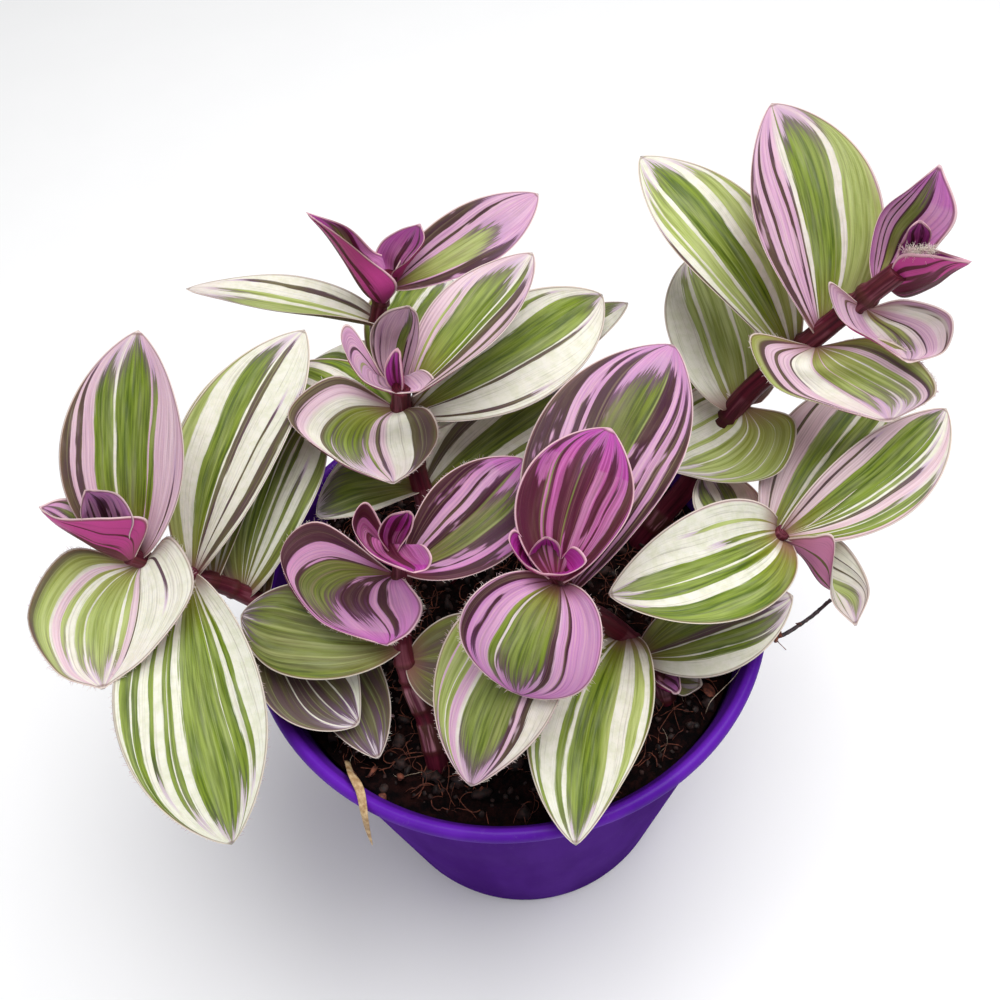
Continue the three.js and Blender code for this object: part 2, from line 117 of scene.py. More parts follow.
# Each leafy stem: its radius, and the points that it runs through from the soil's surface up.
STEMS = {
    "a": (2.3, [(-38, -8, 95), (-48, -6, 108), (-60, -3, 120), (-70, -4, 131), (-75, -6, 140)]),
    "b": (2.6, [(-14, 10, 95), (-16, 14, 120), (-18, 20, 145), (-17, 19, 154)]),
    "c": (2.4, [(-22, 42, 95), (-24, 52, 118), (-24, 60, 136), (-19, 62, 148)]),
    "d": (2.5, [(-19, -38, 95), (-20, -31, 103), (-22, -26, 109), (-23, -21, 118), (-21, -14, 131),
                (-20, -11, 139)]),
    "e": (2.5, [(33, -28, 95), (31, -24, 100), (26, -20, 107), (20, -20, 118), (13, -22, 130),
                (9, -22, 142)]),
    "f": (2.2, [(40, -4, 95), (50, -6, 110), (60, -8, 126)]),
    "g": (2.8, [(34, 14, 95), (46, 18, 112), (56, 21, 136), (70, 20, 156), (81, 17, 173)]),
}

# Each plain leaf: its name, which starts with its stem's letter, base, tip, width, the rise of its
# midrib over the chord and the bow to its right, in millimetres, then its roll, the arc across
# its middle and the arc across its clasping base, in degrees, and the share of its length at
# which it is widest. Then its youth, which brings the magenta flush, its duskiness, how much of
# their spread its stripes keep at the base, and its stripes from left to right: a colour letter,
# a share of the width and, after a slash, how far along the leaf it reaches in percent.
# w is cream, p pink, g green, s sage and d dusky purple over green.
PLAIN_LEAVES = [
    ("a1", (-75, -4, 138), (-67, 27, 170), 28, 2, 0, 0, 50, 120, 0.45, 0.2, 0.15, 0.8,
     "d7/80 p4 d4/84 p9 g13/88 w2 g25/97 p2 g4/80 p20 d2/35 p7 d1/70"),
    ("a5", (-66, -3, 127), (-39, 46, 148), 26, 4, -1, 0, 40, 120, 0.5, 0.05, 0.15, 0.35,
     "s9/88 w16 g19/90 w2 d5/92 w17 d3/64 w14 d11/70 w4"),
    ("a6", (-67, -4, 127), (-60, -55, 106), 31, 5, 2, 0, 30, 120, 0.5, 0, 0.05, 0.4,
     "w16 g4/74 w4 g7/82 w1 g26/96 w6 g3/82 w1 g3/82 w6 g3/72 w6 g4/88 w1 g5/88 w4"),
    ("a7", (-58, -3, 117), (-38, 36, 134), 22, 3, 0, 0, 40, 120, 0.45, 0, 0.4, 0.3,
     "d8 g20 w2 g8 w2 g6 w3 g5 w12 g5/60 w10 g14 w5"),
    ("a8", (-63, -2, 123), (-53, 51, 138), 22, 3, -2, 0, 40, 120, 0.5, 0, 0.1, 0.5,
     "g14 w8 g6 w12 g20 w14 g10 w6 g10"),
    # a9 and a10 lie low under the leaves above: their dusky stripes and full duskiness are painted shade
    # over green
    ("a9", (-50, -6, 111), (-34, -33, 108), 22, 2, 3, 0, 30, 100, 0.5, 0, 1, 0.5,
     "w26 d2/50 d12/99 w2 d12/99 w2 d14/99 w2 d28/99"),
    ("a10", (-42, -7, 102), (-31, -38, 101), 17, 3, 0, 0, 40, 100, 0.5, 0, 1, 0.5,
     "d28/99 s1/99 d22/99 s1/99 d20/99 s1/99 d22/99 w5"),
    ("a11", (-55, -4, 115), (-72, 50, 112), 24, 5, 0, 0, 40, 120, 0.45, 0.1, 0.2, 0.5,
     "g16 w6 g20 w4 g10 w12 g12 w8 g12"),
    ("b3", (-15, 19, 152), (13, 40, 168), 19, 3, 2, 0, 40, 150, 0.5, 0.15, 0.1, 0.7,
     "p16 s3/55 p6 g33/84 w3 g6/90 w2 d9/80 p8 d5/66 p9"),
    ("b5", (-16, 20, 145), (29, 47, 148), 24, 4, 2, -30, 40, 120, 0.5, 0.1, 0.1, 0.5,
     "w14 g5/74 w11 g29/97 w2 d3/78 w26 d4/44 w6"),
    ("b6", (-17, 19, 138), (36, 52, 140), 18, 3, 1, 0, 40, 120, 0.5, 0.05, 0.1, 0.5, "w8 g48 w10 g5/50 w29"),
    ("b7", (-17, 15, 122), (21, 37, 130), 26, 3, 1, 0, 40, 120, 0.5, 0.05, 0.4, 0.4,
     "w12 d12 w14 g26/92 w12 g8/70 w16"),
    ("b8", (-18, 18, 136), (-48, 47, 135), 20, 3, 0, 0, 40, 120, 0.5, 0.2, 0.1, 0.5,
     "g18 w10 g20 w8 g14 w10 g20"),
    ("b9", (-16, 16, 124), (-42, 17, 118), 20, 4, 0, 0, 60, 120, 0.5, 0, 0.25, 0.5, "w12 g76 w12"),
    ("b10", (-17.5, 20.5, 152), (-16.5, 22.5, 162), 6, 1, 0, 0, 160, 200, 0.45, 0.95, 0.3, 0.8,
     "p30 d16 p12 d12 p30"),
    ("c3", (-19, 62, 144), (18, 78, 154), 17, 3, 2, -25, 40, 120, 0.5, 0.36, 0.25, 0.6,
     "d16/74 p10 d4/90 p8 s36/68 p4 d18/70 p4"),
    ("c4", (-24, 59, 135), (-69, 68, 145), 20, 2, -1, -18, 40, 120, 0.45, 0.15, 0.2, 0.6,
     "s42/78 w12 s6/80 w18 d8/72 w14"),
    ("c6", (-24, 54, 122), (-8, 100, 112), 24, 5, 0, 0, 40, 120, 0.45, 0.1, 0.2, 0.5,
     "g12 w8 g26 w6 g14 w14 g20"),
    ("c7", (-24, 50, 114), (-50, 78, 104), 24, 5, 0, 0, 40, 120, 0.45, 0.1, 0.3, 0.5,
     "w14 g20 w5 g24 w4 g10 w23"),
    ("d2", (-20, -13, 135), (7, 8, 140), 22, 3, 2, -30, 40, 140, 0.5, 0.6, 0.7, 0.6,
     "d20/88 p9 d3/88 p6 d8/80 s3 g16/80 s2 d14/92 p6 d13"),
    ("d4", (-23, -21, 119), (-58, -9, 118), 21, 4, -1, 25, 40, 120, 0.5, 0, 0.6, 0.5,
     "g22/99 s3/99 g10/99 s4/99 g8/99 s3/99 g14/99 s2/99 g20/99 d14/99"),
    # d5 sits low between the D and E leaves: its full duskiness and dusky middle stripe are painted shade
    ("d5", (-22, -23, 115), (4, -25, 118), 22, 3, 2, -25, 40, 120, 0.5, 0, 1, 0.5,
     "g40/99 s2/99 d24/99 s2/99 g32/99"),
    ("e1", (10, -24, 142), (23, -3, 160), 23, 2, -1, 0, 40, 140, 0.5, 0.85, 0.75, 0.6,
     "p2 d18/92 p3 s1/70 d3/90 p7 d9/94 s1/70 d10/88 p9 d6/86 p5 d2/70 p9 d9/92 p3"),
    ("e2", (11, -22, 134), (40, 22, 155), 32, 4, -2, 0, 40, 140, 0.5, 0.42, 0.6, 0.6,
     "d17/90 p6 d4/88 p3 d11/94 g22/84 s1 d9/92 p5 d3/84 p5 d5/80 p4 d6/74 p2"),
    ("e3", (10, -24, 140), (0, -41, 130), 29, 6, 0, 5, 50, 160, 0.5, 0.5, 0.25, 0.6,
     "p24 d3/84 p7 d5/94 g28/90 w2 g4/90 p11 d4/70 p4 d6/80 p2"),
    ("e4", (12, -23, 132), (-11, -52, 115), 28, 4, 3, 0, 40, 140, 0.42, 0.3, 0.25, 0.5,
     "w20 d6/92 p4 d3/88 g33/93 w3 p8 s3 w2 s8/90 p2 s8/80"),
    ("e5", (24, -21, 111), (8, -64, 110), 26, 5, 3, 0, 30, 120, 0.42, 0, 0.05, 0.5,
     "g3 w5 s8/88 w14 s4/80 g24/97 w4 g6/96 w14 g6/90 w5 g7/90"),
    ("e7", (28, -22, 104), (61, -18, 116), 20, 3, 0, -30, 40, 120, 0.5, 0.05, 0.25, 0.4,
     "g46 d9 w3 g15/92 w2 g6/80 w19"),
    ("e8", (31, -25, 100), (35, -31, 102), 9, 0, 0, 0, 200, 240, 0.5, 0.5, 0.6, 0.8,
     "p12 d8 p12 d8 p12 d8 p10 d8 p12 d10"),
    ("e9", (32, -25, 99), (41, -28, 99), 12, -1, 0, 0, 130, 200, 0.5, 0, 0.1, 0.8, "s42/99 g14/99 s44/99"),
    ("f1", (59, -8, 125), (20, -23, 133), 25, 4, -2, 25, 40, 120, 0.42, 0.05, 0, 0.8,
     "g27/94 w9 g8/92 w2 g12/96 w4 g4/36 w12 s3/50 w15 p2"),
    ("f2", (60, -8, 125), (98, 11, 138), 19, 3, 3, -25, 40, 120, 0.5, 0.06, 0.1, 0.5,
     "p8 d4/58 p13 g29/97 w1 g4/92 w3 g3/74 w3 d4/64 p9 g3/50 w2 g5/70 w2 g3/60 p4"),
    ("f4", (58, -7, 122), (92, 25, 132), 24, 3, -1, 0, 40, 120, 0.5, 0.05, 0.1, 0.6,
     "p14 d3/80 p16 g16 w4 g14 w6 g8 w19"),
    ("f6", (54, -7, 115), (48, 14, 121), 16, 2, 0, 0, 40, 120, 0.5, 0.1, 0.2, 0.5, "w20 g20 w10 g20 w30"),
    ("g1", (70, 20, 156), (64, 55, 187), 28, 3, 2, 0, 40, 120, 0.5, 0.3, 0.15, 0.6,
     "p3 d7/78 p7 d4/86 p11 d3/84 p4 d2/60 w4 g27/90 w5 s24/92 p2"),
    ("g2", (65, 21, 149), (40, 66, 170), 25, 4, 0, 0, 40, 120, 0.5, 0.03, 0, 0.7,
     "d5/60 w8 s6/74 w4 s12/86 w5 g25/92 w8 s12/84 w6 s9/80"),
    # g3's sage and wide cream stripes are partly its own pale colour and partly painted light on a leaf that
    # g1 shades
    ("g3", (56, 21, 134), (51, 58, 146), 27, 3, 0, 0, 40, 120, 0.38, 0.05, 0.05, 0.7,
     "w30 s8/90 w4 s14/95 s8 w3 s12/90 w21"),
    ("g10", (49, 20, 119), (57, 60, 118), 20, 4, 0, 0, 40, 120, 0.45, 0, 0.2, 0.5,
     "g20 w8 g24 w6 g10 w12 g20"),
]

# Each shaped leaf: its name, its base, three rows of left edge, midrib and right edge on the way
# to the tip, and the tip, in millimetres, then its youth, duskiness and stripes as above.
SHAPED_LEAVES = [
    ("a2", (-74.5, -7, 139), [(-68.5, -4.5, 149), (-78.5, -5.5, 140), (-72.5, -2.5, 144)],
     [(-75.5, -5, 152), (-82.5, -4, 143), (-79.5, 3, 147)],
     [(-84.5, -4, 152), (-87, -1.5, 147), (-86.5, 3.5, 149)], (-90.5, 1, 150),
     0.42, 0.2, "p14 d2/75 p10 d3/60 p3 d18 g8 d6 w6 g8 w8 g6 p8"),
    ("a3", (-75.5, -5.5, 139.5), [(-80.5, -5, 147), (-79, -2.5, 142), (-73, -5.5, 146)],
     [(-80, -5, 153), (-78, -1.5, 146), (-70.5, -5, 151)],
     [(-78.5, -4, 157), (-77.5, -1, 152), (-72.5, -2, 155)], (-77.5, -2.5, 158),
     0.5, 0.2, "p12 d5/55 p8 d5/80 p12 d22/92 p10 d5/70 p21"),
    ("a4", (-73.5, -6, 137), [(-66.5, -3, 141), (-78, -9.5, 135), (-88.5, -2, 139)],
     [(-62.5, -12.5, 136), (-81.5, -14.5, 132), (-97, -13, 134)],
     [(-72, -23, 130), (-82.5, -22, 129), (-91, -25, 130)], (-82, -28.5, 127),
     0.12, 0.1, "w17 d2/40 w17 d1/80 p5 s4/86 w3 s22/93 w2 s6/84 w7 s4/70 p7/80 w3 s12 d6"),
    ("b1", (-17.5, 19.5, 150.5), [(-21.5, 22.5, 158), (-18.5, 23.5, 154), (-14.5, 21, 157)],
     [(-21.5, 24.5, 165), (-17, 27.5, 159), (-12, 21.5, 164)],
     [(-18, 24.5, 170), (-14.5, 25.5, 166), (-11.5, 22.5, 170)], (-13, 23.5, 172),
     0.3, 0.1, "p4 d2/60 p10 d2/50 p32 g20/88 d3 p6 d4/80 p14"),
    ("b2", (-18.5, 20, 149), [(-13, 20.5, 157), (-22.5, 24.5, 153), (-26, 32, 160)],
     [(-10, 18.5, 156), (-22.5, 22, 153), (-28.5, 28.5, 160)],
     [(-13, 17.5, 154), (-20.5, 20, 153), (-25, 21, 156)], (-18, 17.5, 154),
     0.3, 0, "p25 d3/60 p14 d4/80 p12 s14/50 p8 d4/70 p16"),
    ("b4", (-18.5, 19.5, 147.5), [(-12, 16, 150), (-26, 18.5, 146), (-31, 26.5, 152)],
     [(-10.5, 12.5, 145), (-29.5, 16, 142), (-42, 20.5, 148)],
     [(-15, 9.5, 140), (-27.5, 11.5, 139), (-33, 12, 142)], (-21.5, 7.5, 137),
     0.15, 0.1, "d11 d3/85 w14 p4 d3/80 p4 g30/72 d3 w11 p9 d8"),
    ("c1", (-22, 60.5, 139.5), [(-17.5, 57, 149), (-26, 61.5, 144), (-19, 69.5, 145)],
     [(-23.5, 61, 154), (-30, 68, 149), (-23, 71, 148)],
     [(-29.5, 64.5, 159), (-33, 69.5, 156), (-28, 72, 155)], (-36.5, 71, 161),
     0.9, 0.4, "p20 d6 p10 d12 d8 s10 g16 d8 p10"),
    ("c2", (-19.5, 61.5, 144), [(-23, 70.5, 145), (-17.5, 64.5, 145), (-18.5, 60, 150)],
     [(-21, 72.5, 149), (-16, 64.5, 149), (-14, 59, 154)],
     [(-16, 70, 154), (-12, 63.5, 155), (-10, 60, 158)], (-10.5, 65, 159),
     0.8, 0.2, "p34 d8/80 p12 d8 p38"),
    ("d0", (-21, -12, 137), [(-15.5, -14.5, 145), (-25.5, -8, 140), (-25, -5.5, 148)],
     [(-13.5, -17.5, 145), (-25, -11.5, 140), (-28.5, -9, 147)],
     [(-14.5, -19, 143), (-21.5, -15.5, 141), (-25.5, -14.5, 144)], (-17.5, -19.5, 143),
     0.9, 0.4, "p22 d14 p14 d14 p22 d14"),
    ("d1", (-21, -12, 137.5), [(-23, -12.5, 143), (-21.5, -11.5, 139), (-20, -13.5, 143)],
     [(-23.5, -12, 147), (-21, -9.5, 141), (-17, -12.5, 147)],
     [(-21, -10.5, 150), (-19, -9, 145), (-16, -11.5, 150)], (-17, -10.5, 151),
     0.95, 0.5, "d12 p14 d16 p16 d16 p14 d12"),
    ("d3", (-22, -13, 133.5), [(-19, -17, 135), (-33, -10, 131), (-37, -1, 138)],
     [(-17, -20, 131), (-38.5, -12, 128), (-46, -5, 133)],
     [(-20, -23, 127), (-34.5, -18.5, 126), (-39.5, -18, 128)], (-25.5, -24.5, 125),
     0.65, 0.6, "p13 d5/82 p4 d20/68 g25/74 d5/88 p13 d15/82"),
    ("e0", (8.5, -22, 140), [(6, -21.5, 143), (8, -20, 140), (10.5, -21.5, 143.5)],
     [(5, -21, 147), (8.5, -19, 141), (11, -21.5, 147)],
     [(6.5, -20.5, 150), (8.5, -18.5, 145), (10.5, -21, 150)], (8.5, -20, 151),
     1, 0.3, "p26 d8 p14 d8 p14 d6 p24"),
    ("e6", (8.5, -22, 139.5), [(13, -21.5, 149), (7.5, -19.5, 141), (3.5, -17.5, 150)],
     [(15.5, -25, 149), (7.5, -22, 142), (1.5, -19, 150)],
     [(12, -26, 147), (7, -23.5, 144), (3.5, -23, 148)], (7, -25.5, 147),
     1, 0.6, "p18 d6 p22 d20 p16 d4 p14"),
    ("f3", (59.5, -8, 123.5), [(66, -8.5, 125), (64, -11.5, 121), (64, -12.5, 130)],
     [(72.5, -11.5, 124), (67.5, -16, 117), (68, -14.5, 131)],
     [(77.5, -18, 116), (73, -18.5, 113), (68.5, -20, 117)], (74.5, -23, 109),
     0.2, 0.1, "w10 d1/85 w6 d2/88 w9 s26/92 w10 s3 w14 g2 w17"),
    ("g4", (69, 18.5, 153.5), [(78, 13, 160), (66.5, 12.5, 154), (54.5, 17.5, 160)],
     [(86, 9, 157), (70.5, 9.5, 151), (57, 8, 155)],
     [(90, 4.5, 151), (75.5, 5.5, 149), (68, 4.5, 151)], (80.5, 1.5, 147),
     0.2, 0.15, "s8 d4/90 p5 s5/85 w2 s8/88 w2 s10/90 p1 s9/86 p3 w18 d2/60 p10 d4/85 p9 d5 s7"),
    ("g5", (76.5, 17, 164.5), [(83, 14.5, 168), (78, 16, 162), (68, 17.5, 172)],
     [(91, 11, 166), (81, 13.5, 160), (70.5, 14.5, 165)],
     [(90.5, 7.5, 160), (83.5, 10.5, 158), (77.5, 11, 161)], (83.5, 7, 158),
     0.3, 0.15, "p3 d5 w7 p12 d2/75 w6 s7/80 d3/92 s7/80 w10 p20 d2/60 p16"),
    ("g6", (78, 18.5, 168), [(77, 22.5, 173), (82, 24.5, 169), (85, 19, 172)],
     [(79.5, 27.5, 179), (83.5, 26.5, 175), (89, 20, 176)],
     [(84.5, 28, 184), (86.5, 27, 181), (92, 22.5, 181)], (89.5, 29.5, 187),
     0.6, 0.3, "p15 d4/90 p9 d3/90 p9 d4 g13/96 d4 p36 d3/60"),
    ("g7", (79.5, 17.5, 169.5), [(84, 23.5, 172), (84, 17.5, 166), (80, 17, 177)],
     [(88, 21.5, 174), (88.5, 16.5, 169), (83.5, 14.5, 179)],
     [(91, 18, 175), (91, 15.5, 173), (88, 14, 178)], (94, 15.5, 175),
     1, 0.5, "p12 d3 p8 d50 d12 p4 d3 p8"),
    ("g8", (56.5, 20.5, 135.5), [(65.5, 12, 138.5), (56.5, 16, 132), (50.5, 26, 137)],
     [(61, 2.5, 133.5), (52, 14, 128), (44.5, 26, 134)],
     [(50.5, 4.5, 128.5), (46, 13, 126), (40, 20.5, 129)], (39, 12.5, 125),
     0, 0, "g4 w1 s12 w1 s14 w2 s12 w2 s8 w6 s4 w10 s3 w12 g2 w7"),
    ("g9", (81.5, 18, 169.5), [(82, 21.5, 174.5), (85, 22, 172), (86.5, 20.5, 174)],
     [(82, 20.5, 178), (85.5, 22.5, 175.5), (87, 20, 177)],
     [(81.5, 19, 181.5), (84.5, 21.5, 178.5), (86, 19, 180.5)], (84, 20.5, 182),
     0.85, 0.7, "p30 d14 p16 d14 p26"),
]

# What each stripe letter stands for: green, paleness of the green, dusk and pink
STRIPE_KINDS = {
    "w": (0, 0, 0, 0), "p": (0, 0, 0, 1), "g": (1, 0, 0, 0), "s": (1, 1, 0, 0), "d": (1, 0, 1, 0),
}

# The most that a stripe's edge blurs to each side, as a share of the leaf's width
STRIPE_FEATHER = 0.027

# How much further apart the stripes stand at the tip, and the rows of faces along a leaf
TIP_SPREAD = 0.8
LEAF_ROWS = 44

# Leaves with a fringe of fine hairs, and how many hairs each edge has
FRINGED = {
    "e3": 90, "e4": 90, "d3": 70, "b4": 70, "a4": 90, "g4": 80, "a6": 90, "d2": 50, "b9": 40, "a10": 40,
}


# Nodes

class Tree:
    """A short way to write a shader tree."""

    def __init__(self, tree):
        self.tree = tree

    def fill(self, sockets, values):
        """Feeds sockets by name, or in order, with constants or what other nodes put out."""
        for key, value in values.items() if isinstance(values, dict) else enumerate(values):
            if isinstance(value, bpy.types.NodeSocket):
                self.tree.links.new(value, sockets[key])
            else:
                sockets[key].default_value = value

    def node(self, kind, values=(), **settings):
        """Adds a node, feeds its inputs and gives back its outputs."""
        node = self.tree.nodes.new(kind)
        for key, value in settings.items():
            setattr(node, key, value)
        self.fill(node.inputs, values)
        return node.outputs

    def math(self, operation, a, b, clamp=False):
        return self.node("ShaderNodeMath", (a, b), operation=operation, use_clamp=clamp)[0]

    def times(self, a, b, clamp=False):
        return self.math("MULTIPLY", a, b, clamp)

    def plus(self, a, b, clamp=False):
        return self.math("ADD", a, b, clamp)

    def minus(self, a, b):
        return self.math("SUBTRACT", a, b)

    def most(self, a, b):
        return self.math("MAXIMUM", a, b)

    def mix(self, share, first, second):
        """Two colours mixed, each from a node or as it shows on a screen."""
        first, second = (paint(v) if isinstance(v, tuple) else v for v in (first, second))
        return self.node("ShaderNodeMix", {0: share, 6: first, 7: second}, data_type="RGBA")[2]

    def step(self, value, low, high, out_low=0.0, out_high=1.0):
        """A smooth change from one number to another while the value goes from low to high."""
        numbers = (value, low, high, out_low, out_high)
        return self.node("ShaderNodeMapRange", numbers, interpolation_type="SMOOTHSTEP")[0]

    def noise(self, vector, scale, detail=3.0, roughness=0.5):
        values = {"Vector": vector, "Scale": scale, "Detail": detail, "Roughness": roughness}
        return self.node("ShaderNodeTexNoise", values)["Fac"]

    def swing(self, noise, size):
        """Noise turned into an offset to both sides of zero."""
        return self.times(self.minus(noise, 0.5), size)

    def stretch(self, vector, height):
        """Places with their heights scaled, which draws a pattern out up and down."""
        return self.node("ShaderNodeMapping", {"Vector": vector, "Scale": (1.0, 1.0, height)})[0]

    def place(self):
        return self.node("ShaderNodeNewGeometry")["Position"]

    def blade(self):
        return self.node("ShaderNodeUVMap", uv_map="Blade")[0]

    def attribute(self, name):
        return self.node("ShaderNodeAttribute", attribute_name=name)["Fac"]

    def group(self, tree, **values):
        return self.node("ShaderNodeGroup", values, node_tree=tree)

    def streaks(self, vector, across, along):
        return self.group(STREAKS, Vector=vector, Across=across, Along=along)[0]

    def bump(self, height, strength, distance):
        values = {"Height": height, "Strength": strength, "Distance": distance}
        return self.node("ShaderNodeBump", values)[0]


def paint(colour):
    """A colour given as it shows on a screen, 0 to 255, turned into the shaders' linear values."""
    parts = [part / 255 for part in colour]
    return (*(p / 12.92 if p < 0.04 else ((p + 0.055) / 1.055) ** 2.4 for p in parts), 1.0)


def new_group(name, numbers, outputs):
    """An empty node group: a vector and numbers with their defaults go in, numbers come out."""
    tree = bpy.data.node_groups.new(name, "ShaderNodeTree")
    tree.interface.new_socket("Vector", in_out="INPUT", socket_type="NodeSocketVector")
    for label, default in numbers.items():
        socket = tree.interface.new_socket(label, in_out="INPUT", socket_type="NodeSocketFloat")
        socket.default_value = default
    for label in outputs:
        tree.interface.new_socket(label, in_out="OUTPUT", socket_type="NodeSocketFloat")
    entry = tree.nodes.new("NodeGroupInput")
    leave = tree.nodes.new("NodeGroupOutput")
    return tree, Tree(tree), entry.outputs, leave.inputs


def streak_group():
    """Long fine streaks along a leaf or a stem, with so many of them to the metre each way."""
    tree, t, given, out = new_group("Streaks", {"Across": 900.0, "Along": 30.0}, ["Fac"])
    split = t.node("ShaderNodeSeparateXYZ", [given["Vector"]])
    scaled = [t.times(split[0], given["Across"]), t.times(split[1], given["Along"])]
    t.fill(out, [t.noise(t.node("ShaderNodeCombineXYZ", scaled)[0], 1.0, 3.0, 0.55)])
    return tree


def stripe_group():
    """Frays a leaf's stripes: the stripe itself, its tapering end and the pale halo past it."""
    masks = ["Stripe", "End", "Halo", "Fine", "Thread", "Patch"]
    tree, t, given, out = new_group("Frayed stripes", {"Edge": 0.0, "Reach": 9.0}, masks)
    fine = t.streaks(given["Vector"], 1300.0, 70.0)
    thread = t.streaks(given["Vector"], 2600.0, 60.0)
    patch = t.streaks(given["Vector"], 620.0, 75.0)
    wander = t.plus(t.plus(t.swing(fine, 0.8), t.swing(thread, 0.9)), t.swing(patch, 1.0))
    side = t.step(t.plus(given["Edge"], wander), 0.38, 0.62)
    fray = t.plus(t.swing(fine, 9.0), t.swing(thread, 14.0))
    frayed = t.plus(given["Reach"], fray)
    inside = t.step(frayed, -0.8, 1.2)
    past = t.times(t.step(frayed, -6.0, -0.5), t.minus(1.0, inside))
    end = t.step(frayed, 7.0, 0.5)
    t.fill(out, [t.times(side, inside), end, t.times(side, past), fine, thread, patch])
    return tree


def dust_group():
    """Specks and soft blotches of dust, as a mask."""
    tree, t, given, out = new_group("Dust", {"Size": 300.0, "Amount": 0.5}, ["Fac"])
    fine = t.noise(given["Vector"], given["Size"], 5.0, 0.7)
    cloud = t.noise(given["Vector"], t.times(given["Size"], 0.12), 2.0)
    specks = t.times(t.step(fine, 0.55, 0.72), t.step(cloud, 0.4, 0.7))
    t.fill(out, [t.times(specks, given["Amount"], clamp=True)])
    return tree


STREAKS = streak_group()
STRIPES = stripe_group()
DUST = dust_group()


def new_material(name):
    material = bpy.data.materials.new(name)
    material.use_nodes = True
    return material, Tree(material.node_tree), material.node_tree.nodes["Principled BSDF"].inputs


